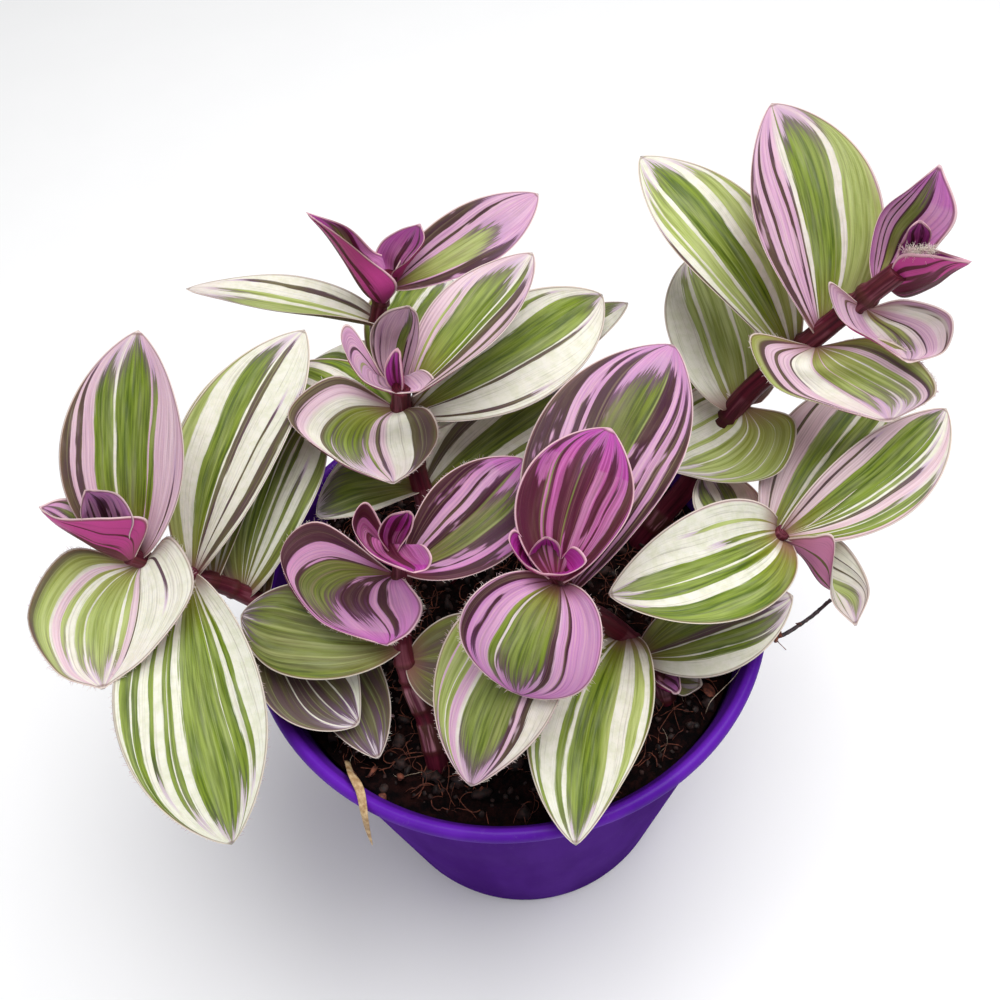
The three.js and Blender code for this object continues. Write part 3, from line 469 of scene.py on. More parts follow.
def leaf_material(name, underside):
    """Stripes of green on cream and pink, from the mesh's stripe masks and streaky noise."""
    material, t, sockets = new_material(name)
    uv = t.blade()
    young, along, ahead = t.attribute("young"), t.attribute("along"), t.attribute("ahead")
    margin, pink_mask = t.attribute("margin"), t.attribute("pink")
    frayed = t.group(STRIPES, Vector=uv, Edge=t.attribute("green"), Reach=t.attribute("reach"))
    fine, thread = frayed["Fine"], frayed["Thread"]
    wide = t.streaks(uv, 300.0, 20.0)
    lines = t.streaks(uv, 1900.0, 14.0)
    mottle = t.noise(uv, 420.0, 4.0, 0.6)

    def lay(below, mask, old, new):
        """Lays a colour over another where the mask is, in its shade for an old or a young leaf."""
        return t.mix(mask, below, t.mix(young, old, new))

    # How dusky the stripes are: mostly the leaves' own dusky purple, but on the low leaves a9, a10 and d5
    # this dusk is painted shade
    dusk = t.times(t.attribute("dusk"), t.step(wide, 0.2, 0.6, 0.85, 1.0))
    over = t.times(t.attribute("dusky"), t.step(wide, 0.3, 0.7, 0.35, 0.9))
    dusk = t.most(dusk, over)

    if underside:
        blush = t.most(pink_mask, t.times(young, 3.4, clamp=True))
        ground = t.mix(blush, (214, 196, 200), (200, 70, 148))
        stripe = t.mix(t.most(dusk, young), (112, 104, 62), (88, 26, 44))
    else:
        # The ground between the stripes
        cream = t.mix(t.step(mottle, 0.35, 0.7), (230, 228, 214), (216, 217, 194))
        lilac = t.mix(t.step(young, 0.0, 0.5), (210, 180, 188), (196, 136, 186))
        lilac = t.mix(t.step(young, 0.5, 1.0), lilac, (156, 18, 118))
        pale = t.mix(young, (226, 204, 210), (188, 66, 158))
        lilac = t.mix(t.step(thread, 0.44, 0.64), lilac, pale)
        at_edge = t.times(t.step(margin, 4.5, 0.6), t.step(young, 0.25, 0.6, 0.0, 0.5))
        lilac = t.mix(at_edge, lilac, (176, 62, 170))
        flush = t.times(pink_mask, t.step(wide, 0.25, 0.7, 0.8, 1.0))
        at_tip = t.times(t.step(ahead, 15.0, 2.0), t.times(young, 2.2), clamp=True)
        flush = t.most(t.most(flush, at_tip), t.times(young, 0.6))
        ground = t.mix(flush, cream, lilac)
        ground = lay(ground, t.times(frayed["Halo"], 0.7), (190, 160, 194), (160, 84, 142))
        hairlines = t.step(lines, 0.58, 0.66, 0.0, 0.3)
        ground = lay(ground, hairlines, (160, 144, 136), (120, 54, 84))

        # The stripes
        leaf_green = t.mix(t.step(fine, 0.3, 0.68), (66, 89, 6), (126, 147, 40))
        sage = t.mix(t.step(fine, 0.3, 0.68), (140, 154, 70), (182, 195, 118))
        paleness = t.plus(t.attribute("light"), t.step(wide, 0.35, 0.65, -0.2, 0.35), clamp=True)
        stripe = t.mix(paleness, leaf_green, sage)
        stripe = t.mix(t.step(along, 16.0, 2.0, 0.0, 0.55), stripe, (132, 122, 36))
        # Dusky brown and plum; on a9, a10 and d5 these colours are painted shade
        brown = t.mix(t.step(young, 0.0, 0.55), (84, 74, 34), (66, 36, 30))
        plum = t.mix(t.step(young, 0.0, 0.55), (94, 72, 76), (68, 24, 50))
        dusk_colour = t.mix(t.step(frayed["Patch"], 0.4, 0.6), brown, plum)
        dusk_colour = t.mix(t.step(young, 0.6, 1.0), dusk_colour, (84, 8, 44))
        stripe = t.mix(dusk, stripe, dusk_colour)
        veins = t.step(lines, 0.56, 0.66, 0.0, 0.28)
        stripe = lay(stripe, veins, (182, 192, 128), (150, 66, 100))
        tinted = t.plus(t.plus(young, 0.25), t.times(t.attribute("dusky"), 2.0), clamp=True)
        violet_end = t.times(frayed["End"], t.times(tinted, 0.8))
        stripe = lay(stripe, violet_end, (108, 76, 112), (84, 30, 56))

    strength = t.times(frayed["Stripe"], t.step(frayed["Patch"], 0.3, 0.58, 0.9, 1.0))
    # Dusky stripes break up into brush strokes on the younger leaves
    breaks = t.step(t.streaks(uv, 330.0, 62.0), 0.55, 0.63)
    breaks = t.times(breaks, t.step(young, 0.1, 0.4, 0.0, 0.8))
    breaks = t.times(breaks, t.attribute("dusk"))
    strength = t.times(strength, t.step(breaks, 0.0, 1.0, 1.0, 0.0))
    face = t.mix(strength, ground, stripe)
    face = t.mix(t.step(thread, 0.48, 0.3, 0.0, 0.25), face, (52, 40, 30))
    # The leaf's foot turns brownish on old leaves and crimson on young ones: partly the flush at its base,
    # partly painted shade where it sits in the stem's joint
    foot = t.step(along, 6.0, 0.0, 0.0, 0.8)
    face = lay(face, foot, (136, 92, 84), (120, 32, 70))
    inner_line = t.times(t.step(margin, 0.62, 0.42), t.step(margin, 0.16, 0.3))
    face = lay(face, t.times(inner_line, 0.6), (120, 92, 78), (96, 36, 54))
    rim = t.step(t.times(margin, t.step(young, 0.6, 1.0, 1.0, 0.6)), 0.34, 0.14, 0.0, 0.9)
    face = lay(face, rim, (226, 212, 198), (226, 176, 190))
    sheen = t.step(fine, 0.2, 0.8, 0.4, 0.6)
    ribs = t.plus(t.times(fine, 0.6), t.times(wide, 0.6))
    ribs = t.plus(ribs, t.times(t.noise(uv, 2200.0, 2.0), 0.3))
    t.fill(sockets, {
        "Base Color": face, "Roughness": sheen, "Normal": t.bump(ribs, 0.5, 0.00025),
        "Specular IOR Level": 0.2, "Subsurface Weight": 0.12,
        "Subsurface Radius": (1.0, 0.8, 0.4), "Subsurface Scale": 0.001,
    })
    return material


def hair_material():
    """Fine hairs, from cream to pink along each."""
    material, t, sockets = new_material("Leaf hairs")
    tint = t.noise(t.place(), 300.0, 2.0)
    colour = t.mix(t.step(tint, 0.4, 0.6), (236, 226, 212), (214, 176, 186))
    t.fill(sockets, {"Base Color": colour, "Roughness": t.step(tint, 0.3, 0.7, 0.45, 0.6)})
    return material


def stem_material():
    """Dark maroon skin with fine streaks, and striped papery sheaths with brown torn edges."""
    material, t, sockets = new_material("Stem")
    uv = t.blade()
    streak = t.streaks(uv, 1100.0, 50.0)
    broad = t.streaks(uv, 420.0, 40.0)
    skin = t.mix(t.step(streak, 0.3, 0.7), (62, 14, 28), (104, 30, 48))
    skin = t.mix(t.step(broad, 0.52, 0.72, 0.0, 0.4), skin, (118, 68, 70))
    papery = t.mix(t.step(streak, 0.42, 0.6), (96, 40, 58), (178, 122, 134))
    papery = t.mix(t.step(broad, 0.47, 0.57), papery, (82, 46, 40))
    skin = t.mix(t.attribute("sheath"), skin, papery)
    skin = t.mix(t.attribute("ring"), skin, (74, 40, 30))
    t.fill(sockets, {
        "Base Color": skin, "Roughness": t.step(streak, 0.2, 0.8, 0.35, 0.55),
        "Normal": t.bump(streak, 0.6, 0.0004), "Specular IOR Level": 0.14,
    })
    return material


def pot_material():
    """Violet plastic with flow marks, a brighter lip, scuffs and dust."""
    material, t, sockets = new_material("Violet pot plastic")
    place = t.place()
    height = t.node("ShaderNodeSeparateXYZ", [place])[2]
    lip = t.step(height, (WALL_TOP - 0.4) * MM, (WALL_TOP + 0.2) * MM)
    flow = t.noise(t.stretch(place, 0.25), 45.0, 4.0, 0.55)
    wall = t.mix(t.step(flow, 0.3, 0.7), (66, 26, 112), (82, 40, 134))
    edge = t.mix(t.step(flow, 0.3, 0.7), (76, 20, 142), (98, 34, 170))
    skin = t.mix(lip, wall, edge)
    dust = t.group(DUST, Vector=place, Size=900.0, Amount=0.6)[0]
    haze = t.step(t.noise(place, 28.0, 3.0, 0.6), 0.45, 0.75, 0.0, 0.02)
    skin = t.mix(t.most(t.times(dust, 0.2), haze), skin, (150, 132, 160))
    rough = t.plus(t.step(flow, 0.2, 0.8, 0.34, 0.46), t.times(dust, 0.3))
    coat = t.step(lip, 0.0, 1.0, 0.02, 0.2)
    scuffs = t.noise(t.stretch(place, 0.1), 900.0, 3.0, 0.6)
    t.fill(sockets, {
        "Base Color": skin, "Roughness": rough, "Normal": t.bump(scuffs, 0.25, 0.0002),
        "Coat Weight": coat, "Coat Roughness": 0.3, "Specular IOR Level": 0.0,
    })
    return material


def peat_material():
    """Black peat with red-brown fibrous patches."""
    material, t, sockets = new_material("Peat")
    place = t.place()
    grain = t.noise(place, 520.0, 6.0, 0.75)
    clump = t.noise(place, 110.0, 4.0, 0.6)
    skin = t.mix(t.step(grain, 0.42, 0.68), (7, 4, 5), (44, 20, 18))
    skin = t.mix(t.step(clump, 0.5, 0.7, 0.0, 0.6), skin, (50, 22, 18))
    t.fill(sockets, {
        "Base Color": skin, "Roughness": t.step(grain, 0.2, 0.8, 0.6, 0.95),
        "Normal": t.bump(grain, 1.0, 0.0016), "Specular IOR Level": 0.1,
    })
    return material


def debris_material(name, dark, light, size):
    """Bark, fibre and dry scraps: two browns in grain, with dust."""
    material, t, sockets = new_material(name)
    place = t.place()
    grain = t.noise(place, size, 4.0, 0.65)
    dust = t.group(DUST, Vector=place, Size=1500.0, Amount=0.5)[0]
    skin = t.mix(t.step(grain, 0.35, 0.68), dark, light)
    skin = t.mix(t.times(dust, 0.4), skin, (160, 142, 128))
    rough = t.step(grain, 0.2, 0.8, 0.6, 0.9)
    t.fill(sockets, {"Base Color": skin, "Roughness": rough, "Normal": t.bump(grain, 0.6, 0.0003)})
    return material


def floor_material():
    material, t, sockets = new_material("Pale floor")
    mottle = t.noise(t.place(), 30.0, 3.0, 0.5)
    t.fill(sockets, {"Base Color": t.mix(mottle, (250, 250, 250), (253, 253, 253)), "Roughness": 0.9})
    return material


LEAF_TOP = leaf_material("Leaf upper face", False)
LEAF_UNDER = leaf_material("Leaf underside", True)
HAIRS = hair_material()
STEM_SKIN = stem_material()
POT_PLASTIC = pot_material()
PEAT = peat_material()
BARK = debris_material("Twig bark", (34, 26, 30), (84, 68, 72), 900.0)
BARK_CRUMB = debris_material("Red-brown bark", (70, 30, 22), (136, 74, 52), 700.0)
STRAW = debris_material("Dry straw", (150, 112, 70), (206, 178, 136), 500.0)
FIBRE = debris_material("Root fibre", (64, 26, 20), (142, 78, 54), 700.0)
PALE_ROOT = debris_material("Pale root hair", (150, 128, 104), (214, 200, 178), 700.0)
CRUMB = debris_material("Peat crumbs", (14, 7, 6), (60, 32, 26), 800.0)


# Meshes

def add_object(name, data):
    obj = bpy.data.objects.new(name, data)
    bpy.context.scene.collection.objects.link(obj)
    return obj


class Shape:
    """Vertices, faces, vertex values and one UV pair for each vertex."""

    def __init__(self):
        self.points, self.faces, self.slots, self.uvs, self.values = [], [], [], [], {}
        self.count = 0

    def add(self, points, faces, uvs=None, slots=None, **values):
        """Takes faces as lists of the new points' numbers."""
        points = np.asarray(points, float).reshape(-1, 3)
        n = len(points)
        self.points.append(points)
        self.faces.extend([[corner + self.count for corner in face] for face in faces])
        self.slots.append(np.zeros(len(faces), int) if slots is None else np.asarray(slots, int))
        self.uvs.append(np.zeros((n, 2)) if uvs is None else np.asarray(uvs, float))
        for key, value in values.items():
            self.values.setdefault(key, []).append(np.broadcast_to(value, (n,)).astype(float))
        self.count += n

    def make(self, name, *materials):
        mesh = bpy.data.meshes.new(name)
        points = np.concatenate(self.points) * MM
        mesh.from_pydata(points.tolist(), [], self.faces)
        corners = np.empty(len(mesh.loops), int)
        mesh.loops.foreach_get("vertex_index", corners)
        layer = mesh.uv_layers.new(name="Blade")
        layer.data.foreach_set("uv", (np.concatenate(self.uvs) * MM)[corners].ravel())
        for key, value in self.values.items():
            attribute = mesh.attributes.new(key, "FLOAT", "POINT")
            attribute.data.foreach_set("value", np.concatenate(value))
        for material in materials:
            mesh.materials.append(material)
        mesh.polygons.foreach_set("material_index", np.concatenate(self.slots))
        mesh.polygons.foreach_set("use_smooth", np.ones(len(mesh.polygons), bool))
        mesh.update()
        obj = add_object(name, mesh)
        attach(obj, "root")
        return obj


def unit(v):
    return v / np.linalg.norm(v, axis=-1, keepdims=True)


def turned(a, b, angle):
    """Two directions at right angles, turned together in their plane."""
    return a * math.cos(angle) + b * math.sin(angle), b * math.cos(angle) - a * math.sin(angle)


def smooth(x, low, high):
    """Goes smoothly from 0 to 1 while x goes from low to high."""
    s = np.clip((x - low) / (high - low), 0, 1)
    return s * s * (3 - 2 * s)


def walked_along(line):
    """The length from the line's start to each of its points."""
    return np.concatenate([[0], np.cumsum(np.linalg.norm(np.diff(line, axis=0), axis=1))])


def angles_round(sides):
    return np.linspace(0, 2 * np.pi, sides, endpoint=False)


def rings(profile, angle):
    """Rings of points about the upright axis, one for each (radius, height) of the profile."""
    radius, height = np.array(profile, float).T[..., None]
    return np.stack([radius * np.cos(angle), radius * np.sin(angle), height + 0 * angle], -1)


def closed(index):
    """A grid of point numbers with its first column once more at the end."""
    return np.concatenate([index, index[:, :1]], axis=1)


def grid_quads(index):
    """Four-cornered faces over a grid of point numbers."""
    corners = (index[:-1, :-1], index[:-1, 1:], index[1:, 1:], index[1:, :-1])
    return np.stack(corners, -1).reshape(-1, 4).tolist()


# Leaves

def stripes_of(text, draw):
    """The stripes as (left edge, right edge, kind, reach), measured in shares of the leaf."""
    stripes, at = [], 0.0
    words = text.split()
    total = sum(float(word[1:].split("/")[0]) for word in words)
    for word in words:
        size, _, reach = word[1:].partition("/")
        width = float(size) / total
        end = float(reach) / 100 + 0.03 if reach else draw.uniform(0.9, 1.0)
        stripes.append((at, at + width, STRIPE_KINDS[word[0]], end))
        at += width
    return stripes


def feathers(stripes):
    """Each stripe's soft share on its left and right, less beside a narrow neighbour."""
    widths = [right - left for left, right, _, _ in stripes]
    soft = [min(STRIPE_FEATHER, 0.4 * min(pair)) for pair in zip(widths, widths[1:])]
    return list(zip([None] + soft, soft + [None]))


def leaf_columns(stripes):
    """Places across the blade: both sides of each stripe's edge, each stripe's middle, the rims."""
    places = [0, 0.012, 0.03, 0.97, 0.988, 1]
    for (left, right, _, _), (before, after) in zip(stripes, feathers(stripes)):
        places.append((left + right) / 2)
        if before:
            places.append(left + before)
        if after:
            places.append(right - after)
    kept = [0.0]
    for p in sorted(places)[1:]:
        if p - kept[-1] < 0.004:
            continue
        while p - kept[-1] > 0.07:
            kept.append(kept[-1] + 0.05)
        kept.append(p)
    kept[-1] = 1.0
    return 2 * np.array(kept) - 1


def plain_blade(leaf):
    """The middle surface of a plain leaf: from places along and across to points."""
    _, base, tip, width, arch, bow, roll, cup, curl, widest = leaf[:10]
    base, tip = np.array(base, float), np.array(tip, float)
    length = np.linalg.norm(tip - base)
    chord = (tip - base) / length
    level = unit(np.cross(chord, [0, 0, 1.0]))
    right, rise = turned(level, np.cross(level, chord), math.radians(roll))
    power = TIP_POWER * widest / (1 - widest)

    def surface(u, v):
        u, v = u[..., None], v[..., None]
        bulge, slope = 4 * u * (1 - u), 4 * (1 - 2 * u)
        middle = base + chord * length * u + rise * arch * bulge + right * bow * bulge
        heading = unit(chord * length + rise * arch * slope + right * bow * slope)
        side = unit(right - heading * (heading @ right)[..., None])
        up = np.cross(side, heading)
        share = BASE_SHARE + (1 - BASE_SHARE) * u
        ends = (share / widest) ** power * (np.maximum(1 - share, 0) / (1 - widest)) ** TIP_POWER
        half = np.maximum(0.5 * width * ends, 0.08)
        arc = np.radians(cup + (curl - cup) * (1 - u) ** CLASP_POWER) / 2
        arc = np.minimum(arc, half / SMALLEST_CURL)
        return middle + side * half * np.sin(arc * v) / arc + up * half * (1 - np.cos(arc * v)) / arc

    return surface


def line_through(knots, t):
    """A smooth line through the knots, at places t counted in knots."""
    knots = np.concatenate([[2 * knots[0] - knots[1]], knots, [2 * knots[-1] - knots[-2]]])
    first = np.clip(np.floor(t), 0, len(knots) - 4).astype(int)
    f = (t - first)[..., None]
    a, b, c, d = (knots[first + k] for k in range(4))
    return b + f / 2 * (c - a + f * (2 * a - 5 * b + 4 * c - d + f * (3 * b - a - 3 * c + d)))


def shaped_blade(leaf):
    """The middle surface of a shaped leaf, through its three rows, from base to tip."""
    base, tip = np.array(leaf[1], float), np.array(leaf[5], float)
    rows = [np.array(row, float) for row in leaf[2:5]]
    ends = []
    for point, row in ((base, rows[0]), (tip, rows[2])):
        aside = unit(row[2] - row[0]) * NARROW_END
        ends.append(np.array([point - aside, point, point + aside]))
    knots = np.array([ends[0], *rows, ends[1]])

    def surface(u, v):
        left, middle, right = (line_through(knots[:, k], 4 * u) for k in range(3))
        v = v[..., None]
        return middle + v * (right - left) / 2 + v * v * ((right + left) / 2 - middle)

    return surface


def surface_normals(surface, u, v):
    """The surface's directions outward, from points close by."""
    nearby = 0.004
    ahead = surface(u + nearby, v) - surface(u - nearby, v)
    across = surface(u, v + nearby) - surface(u, v - nearby)
    return unit(np.cross(across, ahead))


def carried(stripes, channel, own):
    """A channel's value at each stripe's left and right: where it isn't its own, its neighbour's."""
    values = [kind[channel] if bool(kind[0]) == own else None for _, _, kind, _ in stripes]
    sides = []
    for k, value in enumerate(values):
        before = [v for v in values[:k + 1] if v is not None][-1:]
        after = [v for v in values[k:] if v is not None][:1]
        sides.append(((before or after or [0])[0], (after or before or [0])[0]))
    return sides


def stripe_fields(stripes, share, walked, span):
    """At each point of the blade: green, light, dusk and pink, and how far the stripe reaches on."""
    kinds = np.zeros((4,) + share.shape)
    reach = np.full(share.shape, 40.0)
    sides = [carried(stripes, channel, channel != 3) for channel in range(1, 4)]
    for k, ((left, right, kind, end), (before, after)) in enumerate(zip(stripes, feathers(stripes))):
        inside = np.ones(share.shape)
        if before:
            inside = inside * smooth(share, left - before, left + before)
        if after:
            inside = inside * (1 - smooth(share, right - after, right + after))
        blur = 0.35 * (1 - smooth((right - left) * span, 0.3, 1.5))
        kinds[0] += inside * max(kind[0], blur)
        across = smooth(share, left, right)
        for channel in range(3):
            from_left, from_right = sides[channel][k]
            kinds[channel + 1] += inside * (from_left + (from_right - from_left) * across)
        if kind[0]:
            half = (right - left) / 2
            off_middle = np.minimum(np.abs(share - (left + right) / 2) / half, 1.2)
            taper = min(6.0, 3.4 * half * span) * off_middle ** 1.6
            here = (share >= left - (before or 0) * 1.01) & (share <= right + (after or 0) * 1.01)
            reach = np.where(here, end * walked[-1, 0] - walked - taper, reach)
    return kinds, reach


def add_leaf(shape, name, surface, looks, waviness):
    """Adds one blade and returns its two edges as (points, outward directions)."""
    young, dusky, fan, text = looks
    draw = random.Random("leaf " + name)
    stripes = stripes_of(text, draw)
    columns = leaf_columns(stripes)
    rows = 1 - (1 - np.linspace(0, 1, LEAF_ROWS + 1)) ** 1.15
    u, v = np.meshgrid(rows, columns, indexing="ij")
    share = (v + 1) / 2

    # The stripes draw together towards the base and spread towards the tip, between fixed edges
    spread = fan + (1 - fan) * (1 - np.exp(-u / 0.22)) + TIP_SPREAD * smooth(u, 0.45, 1)
    v = v * spread / (1 + (spread ** 3 - 1) * np.abs(v) ** 3) ** (1 / 3)

    points = surface(u, v)
    normals = surface_normals(surface, u, v)
    walked = walked_along(points[:, len(columns) // 2])[:, None] * np.ones_like(v)
    half = np.linalg.norm(np.diff(points, axis=1), axis=2).sum(1)[:, None] / 2
    span = 2 * half.max()

    wave = draw.uniform(*EDGE_WAVES) * min(1.0, span / 22) * waviness
    phase = draw.uniform(0, 6.28)
    lift = wave * np.sin(7.5 * u + phase + 1.3 * np.sign(v)) * np.abs(v) ** 3 * np.sin(np.pi * u)
    lift -= MIDRIB_DIP * waviness * np.exp(-(v / 0.09) ** 2) * np.sin(np.pi * np.clip(u * 1.1, 0, 1))
    lift += RIB_HEIGHT * np.sin(share * 40 + phase) * np.sin(np.pi * u)
    points = points + normals * lift[..., None]
    kinds, reach = stripe_fields(stripes, share, walked, span)

    # The upper face and the underside share the rim's points
    thick = HALF_THICKNESS * (1 - np.abs(v) ** 10) * smooth(1 - u, 0, 0.06)
    n, m = u.shape
    edge = np.zeros((n, m), bool)
    edge[:, 0] = edge[:, -1] = edge[-1, :] = True
    top = np.arange(n * m).reshape(n, m)
    low = top.copy()
    low[~edge] = n * m + np.arange((~edge).sum())
    upper, lower = grid_quads(top), grid_quads(low[:, ::-1])
    foot = [[a, c, d, b] for a, b, c, d in zip(top[0], top[0, 1:], low[0], low[0, 1:])]
    foot = [[int(corner) for corner in dict.fromkeys(face)] for face in foot]

    def both(field):
        return np.concatenate([field.reshape(n * m, *field.shape[2:]), field[~edge]])

    raised = np.concatenate([np.full(n * m, 1.0), np.full((~edge).sum(), -1.0)]) * both(thick)
    offset = [draw.uniform(0, 900), draw.uniform(0, 900)]
    uvs = both(np.stack([(share - 0.5) * span, walked], -1)) + offset
    ahead = walked[-1, 0] - walked
    margin = np.minimum((1 - np.abs(v)) * half, ahead * 0.5)
    fields = dict(zip(("green", "light", "dusk", "pink"), kinds))
    fields.update(reach=reach, margin=margin, along=walked, ahead=ahead)
    shape.add(
        both(points) + both(normals) * raised[:, None], upper + lower + foot, uvs,
        [0] * len(upper) + [1] * (len(lower) + len(foot)),
        **{key: both(field) for key, field in fields.items()}, young=young, dusky=dusky,
    )
    return [(points[:, a], unit(points[:, a] - points[:, b])) for a, b in ((0, 2), (-1, -3))]


def leaves_of(letter):
    """Name, base, surface, looks and waviness of each leaf on one stem."""
    found = []
    for leaf in PLAIN_LEAVES:
        if leaf[0][0] == letter:
            found.append((leaf[0], leaf[1], plain_blade(leaf), leaf[10:14], 1.0))
    for leaf in SHAPED_LEAVES:
        if leaf[0][0] == letter:
            young, dusky, text = leaf[6:9]
            found.append((leaf[0], leaf[1], shaped_blade(leaf), (young, dusky, 1.0, text), 0.3))
    return found


def build_leaves(letter, fringes):
    """All the leaves of one stem; the edges of those with hairs go into the fringes."""
    shape = Shape()
    for name, _, surface, looks, waviness in leaves_of(letter):
        edges = add_leaf(shape, name, surface, looks, waviness)
        if name in FRINGED:
            fringes.append((FRINGED[name], edges))
    leaves = shape.make(f"leaves_{letter}", LEAF_TOP, LEAF_UNDER)
    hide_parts(f"leafy_stem_{letter}")


# A tuft of cream fluff beside the youngest bud of the tallest stem
TUFT_LINE = [(80.8, 17, 177.8), (85.8, 15.3, 179)]
TUFT_HAIRS = 420

# A hair's radius from root to tip
HAIR_RADII = (0.04, 0.035, 0.028, 0.015)


def build_hairs(fringes):
    """Fine hairs on the leaf edges, and the tuft."""
    draw = np.random.default_rng(SEEDS["leaf hairs"])
    shape = Shape()

    def add_hair(root, heading, size):
        bend = draw.normal(size=3) * 0.25
        steps = np.linspace(0, 1, len(HAIR_RADII))[:, None]
        line = root + heading * size * steps + bend * size * steps ** 2
        low, high = np.array(cad_box[0]) / MM + 0.1, np.array(cad_box[1]) / MM - 0.1
        add_tube(shape, np.clip(line, low, high), HAIR_RADII, 3)

    for count, edges in fringes:
        for points, outward in edges:
            for spot in draw.uniform(0.08, 0.97, count) * (len(points) - 1):
                k = int(spot)
                root = points[k] + (points[k + 1] - points[k]) * (spot - k)
                add_hair(root, unit(outward[k] + draw.normal(size=3) * 0.45), draw.uniform(0.3, 0.85))
    start, end = np.array(TUFT_LINE)
    for _ in range(TUFT_HAIRS):
        root = start + (end - start) * draw.random() + draw.normal(size=3) * 0.35
        add_hair(root, unit(draw.normal(size=3)), draw.uniform(0.6, 1.5))
    hairs = shape.make("leaf_hairs", HAIRS)


# Tubes and stems

def curve_points(path, steps):
    """Evenly spaced points on a centripetal curve through the path's points."""
    p = np.array(path, float)
    p = np.concatenate([[2 * p[0] - p[1]], p, [2 * p[-1] - p[-2]]])
    line = []
    for i in range(1, len(p) - 2):
        knots = [0.0]
        for a, b in zip(p[i - 1:i + 2], p[i:i + 3]):
            knots.append(knots[-1] + np.linalg.norm(b - a) ** 0.5)
        t = np.linspace(knots[1], knots[2], 24, endpoint=False)[:, None]

        def blend(a, b, ta, tb):
            return a * (tb - t) / (tb - ta) + b * (t - ta) / (tb - ta)

        a1 = blend(p[i - 1], p[i], knots[0], knots[1])
        a2 = blend(p[i], p[i + 1], knots[1], knots[2])
        a3 = blend(p[i + 1], p[i + 2], knots[2], knots[3])
        b1 = blend(a1, a2, knots[0], knots[2])
        b2 = blend(a2, a3, knots[1], knots[3])
        line.append(blend(b1, b2, knots[1], knots[2]))
    line = np.concatenate(line + [p[-2:-1]])
    walked = walked_along(line)
    want = np.linspace(0, walked[-1], steps + 1)
    return np.stack([np.interp(want, walked, line[:, k]) for k in range(3)], -1), want


def add_tube(shape, centres, radii, sides, squash=1.0, across=(1, 0.2, 0), **values):
    """A closed tube, or a flat strip where squash is small."""
    n = len(centres)
    ahead = unit(np.gradient(centres, axis=0) + 1e-6)
    side = np.array(across, float)
    side = unit(side - ahead * (ahead @ side)[:, None])
    up = np.cross(ahead, side)
    angle = angles_round(sides)
    radii = np.asarray(radii, float)
    if radii.ndim == 1:
        radii = np.repeat(radii[:, None], sides, axis=1)
    ring = centres[:, None] + side[:, None] * (radii * np.cos(angle))[..., None]
    ring = ring + up[:, None] * (radii * np.sin(angle) * squash)[..., None]
    where = np.arange(n * sides).reshape(n, sides)
    skin = grid_quads(closed(where))
    caps = []
    for k in range(sides):
        after = (k + 1) % sides
        caps.append([n * sides, after, k])
        caps.append([n * sides + 1, (n - 1) * sides + k, (n - 1) * sides + after])
    points = np.concatenate([ring.reshape(-1, 3), centres[:1], centres[-1:]])
    walked = walked_along(centres)
    girth = radii.mean() * angle
    uvs = np.stack(np.broadcast_arrays(girth[None, :], walked[:, None]), -1).reshape(-1, 2)
    uvs = np.concatenate([uvs, [[0, 0], [0, walked[-1]]]])
    spread = {}
    for key, value in values.items():
        value = np.broadcast_to(value, (n,))
        spread[key] = np.concatenate([np.repeat(value, sides), value[:1], value[-1:]])
    shape.add(points, skin + caps, uvs, **spread)


# Joints of the stems without a leaf: the stem's letter and the place
BARE_JOINTS = [
    ("d", (-20, -32, 101)), ("d", (-21.5, -26.5, 108)), ("e", (31, -25, 99)), ("g", (40, 16, 104)),
]


# How deep a stem reaches into the soil, how much thinner it ends, its rings and sides
STEM_DEPTH = 8
STEM_TAPER = 0.25
STEM_STEPS = 110
STEM_SIDES = 28


def build_stem(letter):
    """One stem, with a ring and a thin papery sheath at each of its joints."""
    radius, path = STEMS[letter]
    x, y, ground = path[0]
    draw = random.Random("stem " + letter)
    centres, walked = curve_points([(x, y, ground - STEM_DEPTH)] + path, STEM_STEPS)
    height = path[-1][2] - ground
    share = np.clip((centres[:, 2] - ground) / height, 0, 1)
    radii = radius * (1 - STEM_TAPER * share)
    sheath = np.zeros(len(centres))
    ring = np.zeros(len(centres))
    joints = [(base, 0.2) for _, base, _, _, _ in leaves_of(letter)]
    joints += [(place, 1.0) for key, place in BARE_JOINTS if key == letter]
    for joint, papery in joints:
        nearest = int(np.argmin(np.linalg.norm(centres - np.array(joint, float), axis=1)))
        past = walked - walked[nearest]
        ring = np.maximum(ring, np.exp(-((past + 4.6) / 0.45) ** 2))
        top = draw.uniform(0.4, 2.2)
        wrapped = smooth(past, -4.4, -3.9) * (1 - smooth(past, top, top + 0.5))
        sheath = np.maximum(sheath, papery * wrapped)
    radii = np.minimum(radii + 0.45 * ring + 0.3 * sheath, radius + 0.8)
    shape = Shape()
    add_tube(shape, centres, radii, STEM_SIDES, sheath=sheath, ring=0.7 * ring)
    stem = shape.make(f"stem_{letter}", STEM_SKIN)
    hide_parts(f"leafy_stem_{letter}")


# Pot

def outer_radius(z):
    return FOOT_RADIUS + (UNDER_LIP - FOOT_RADIUS) * z / WALL_TOP


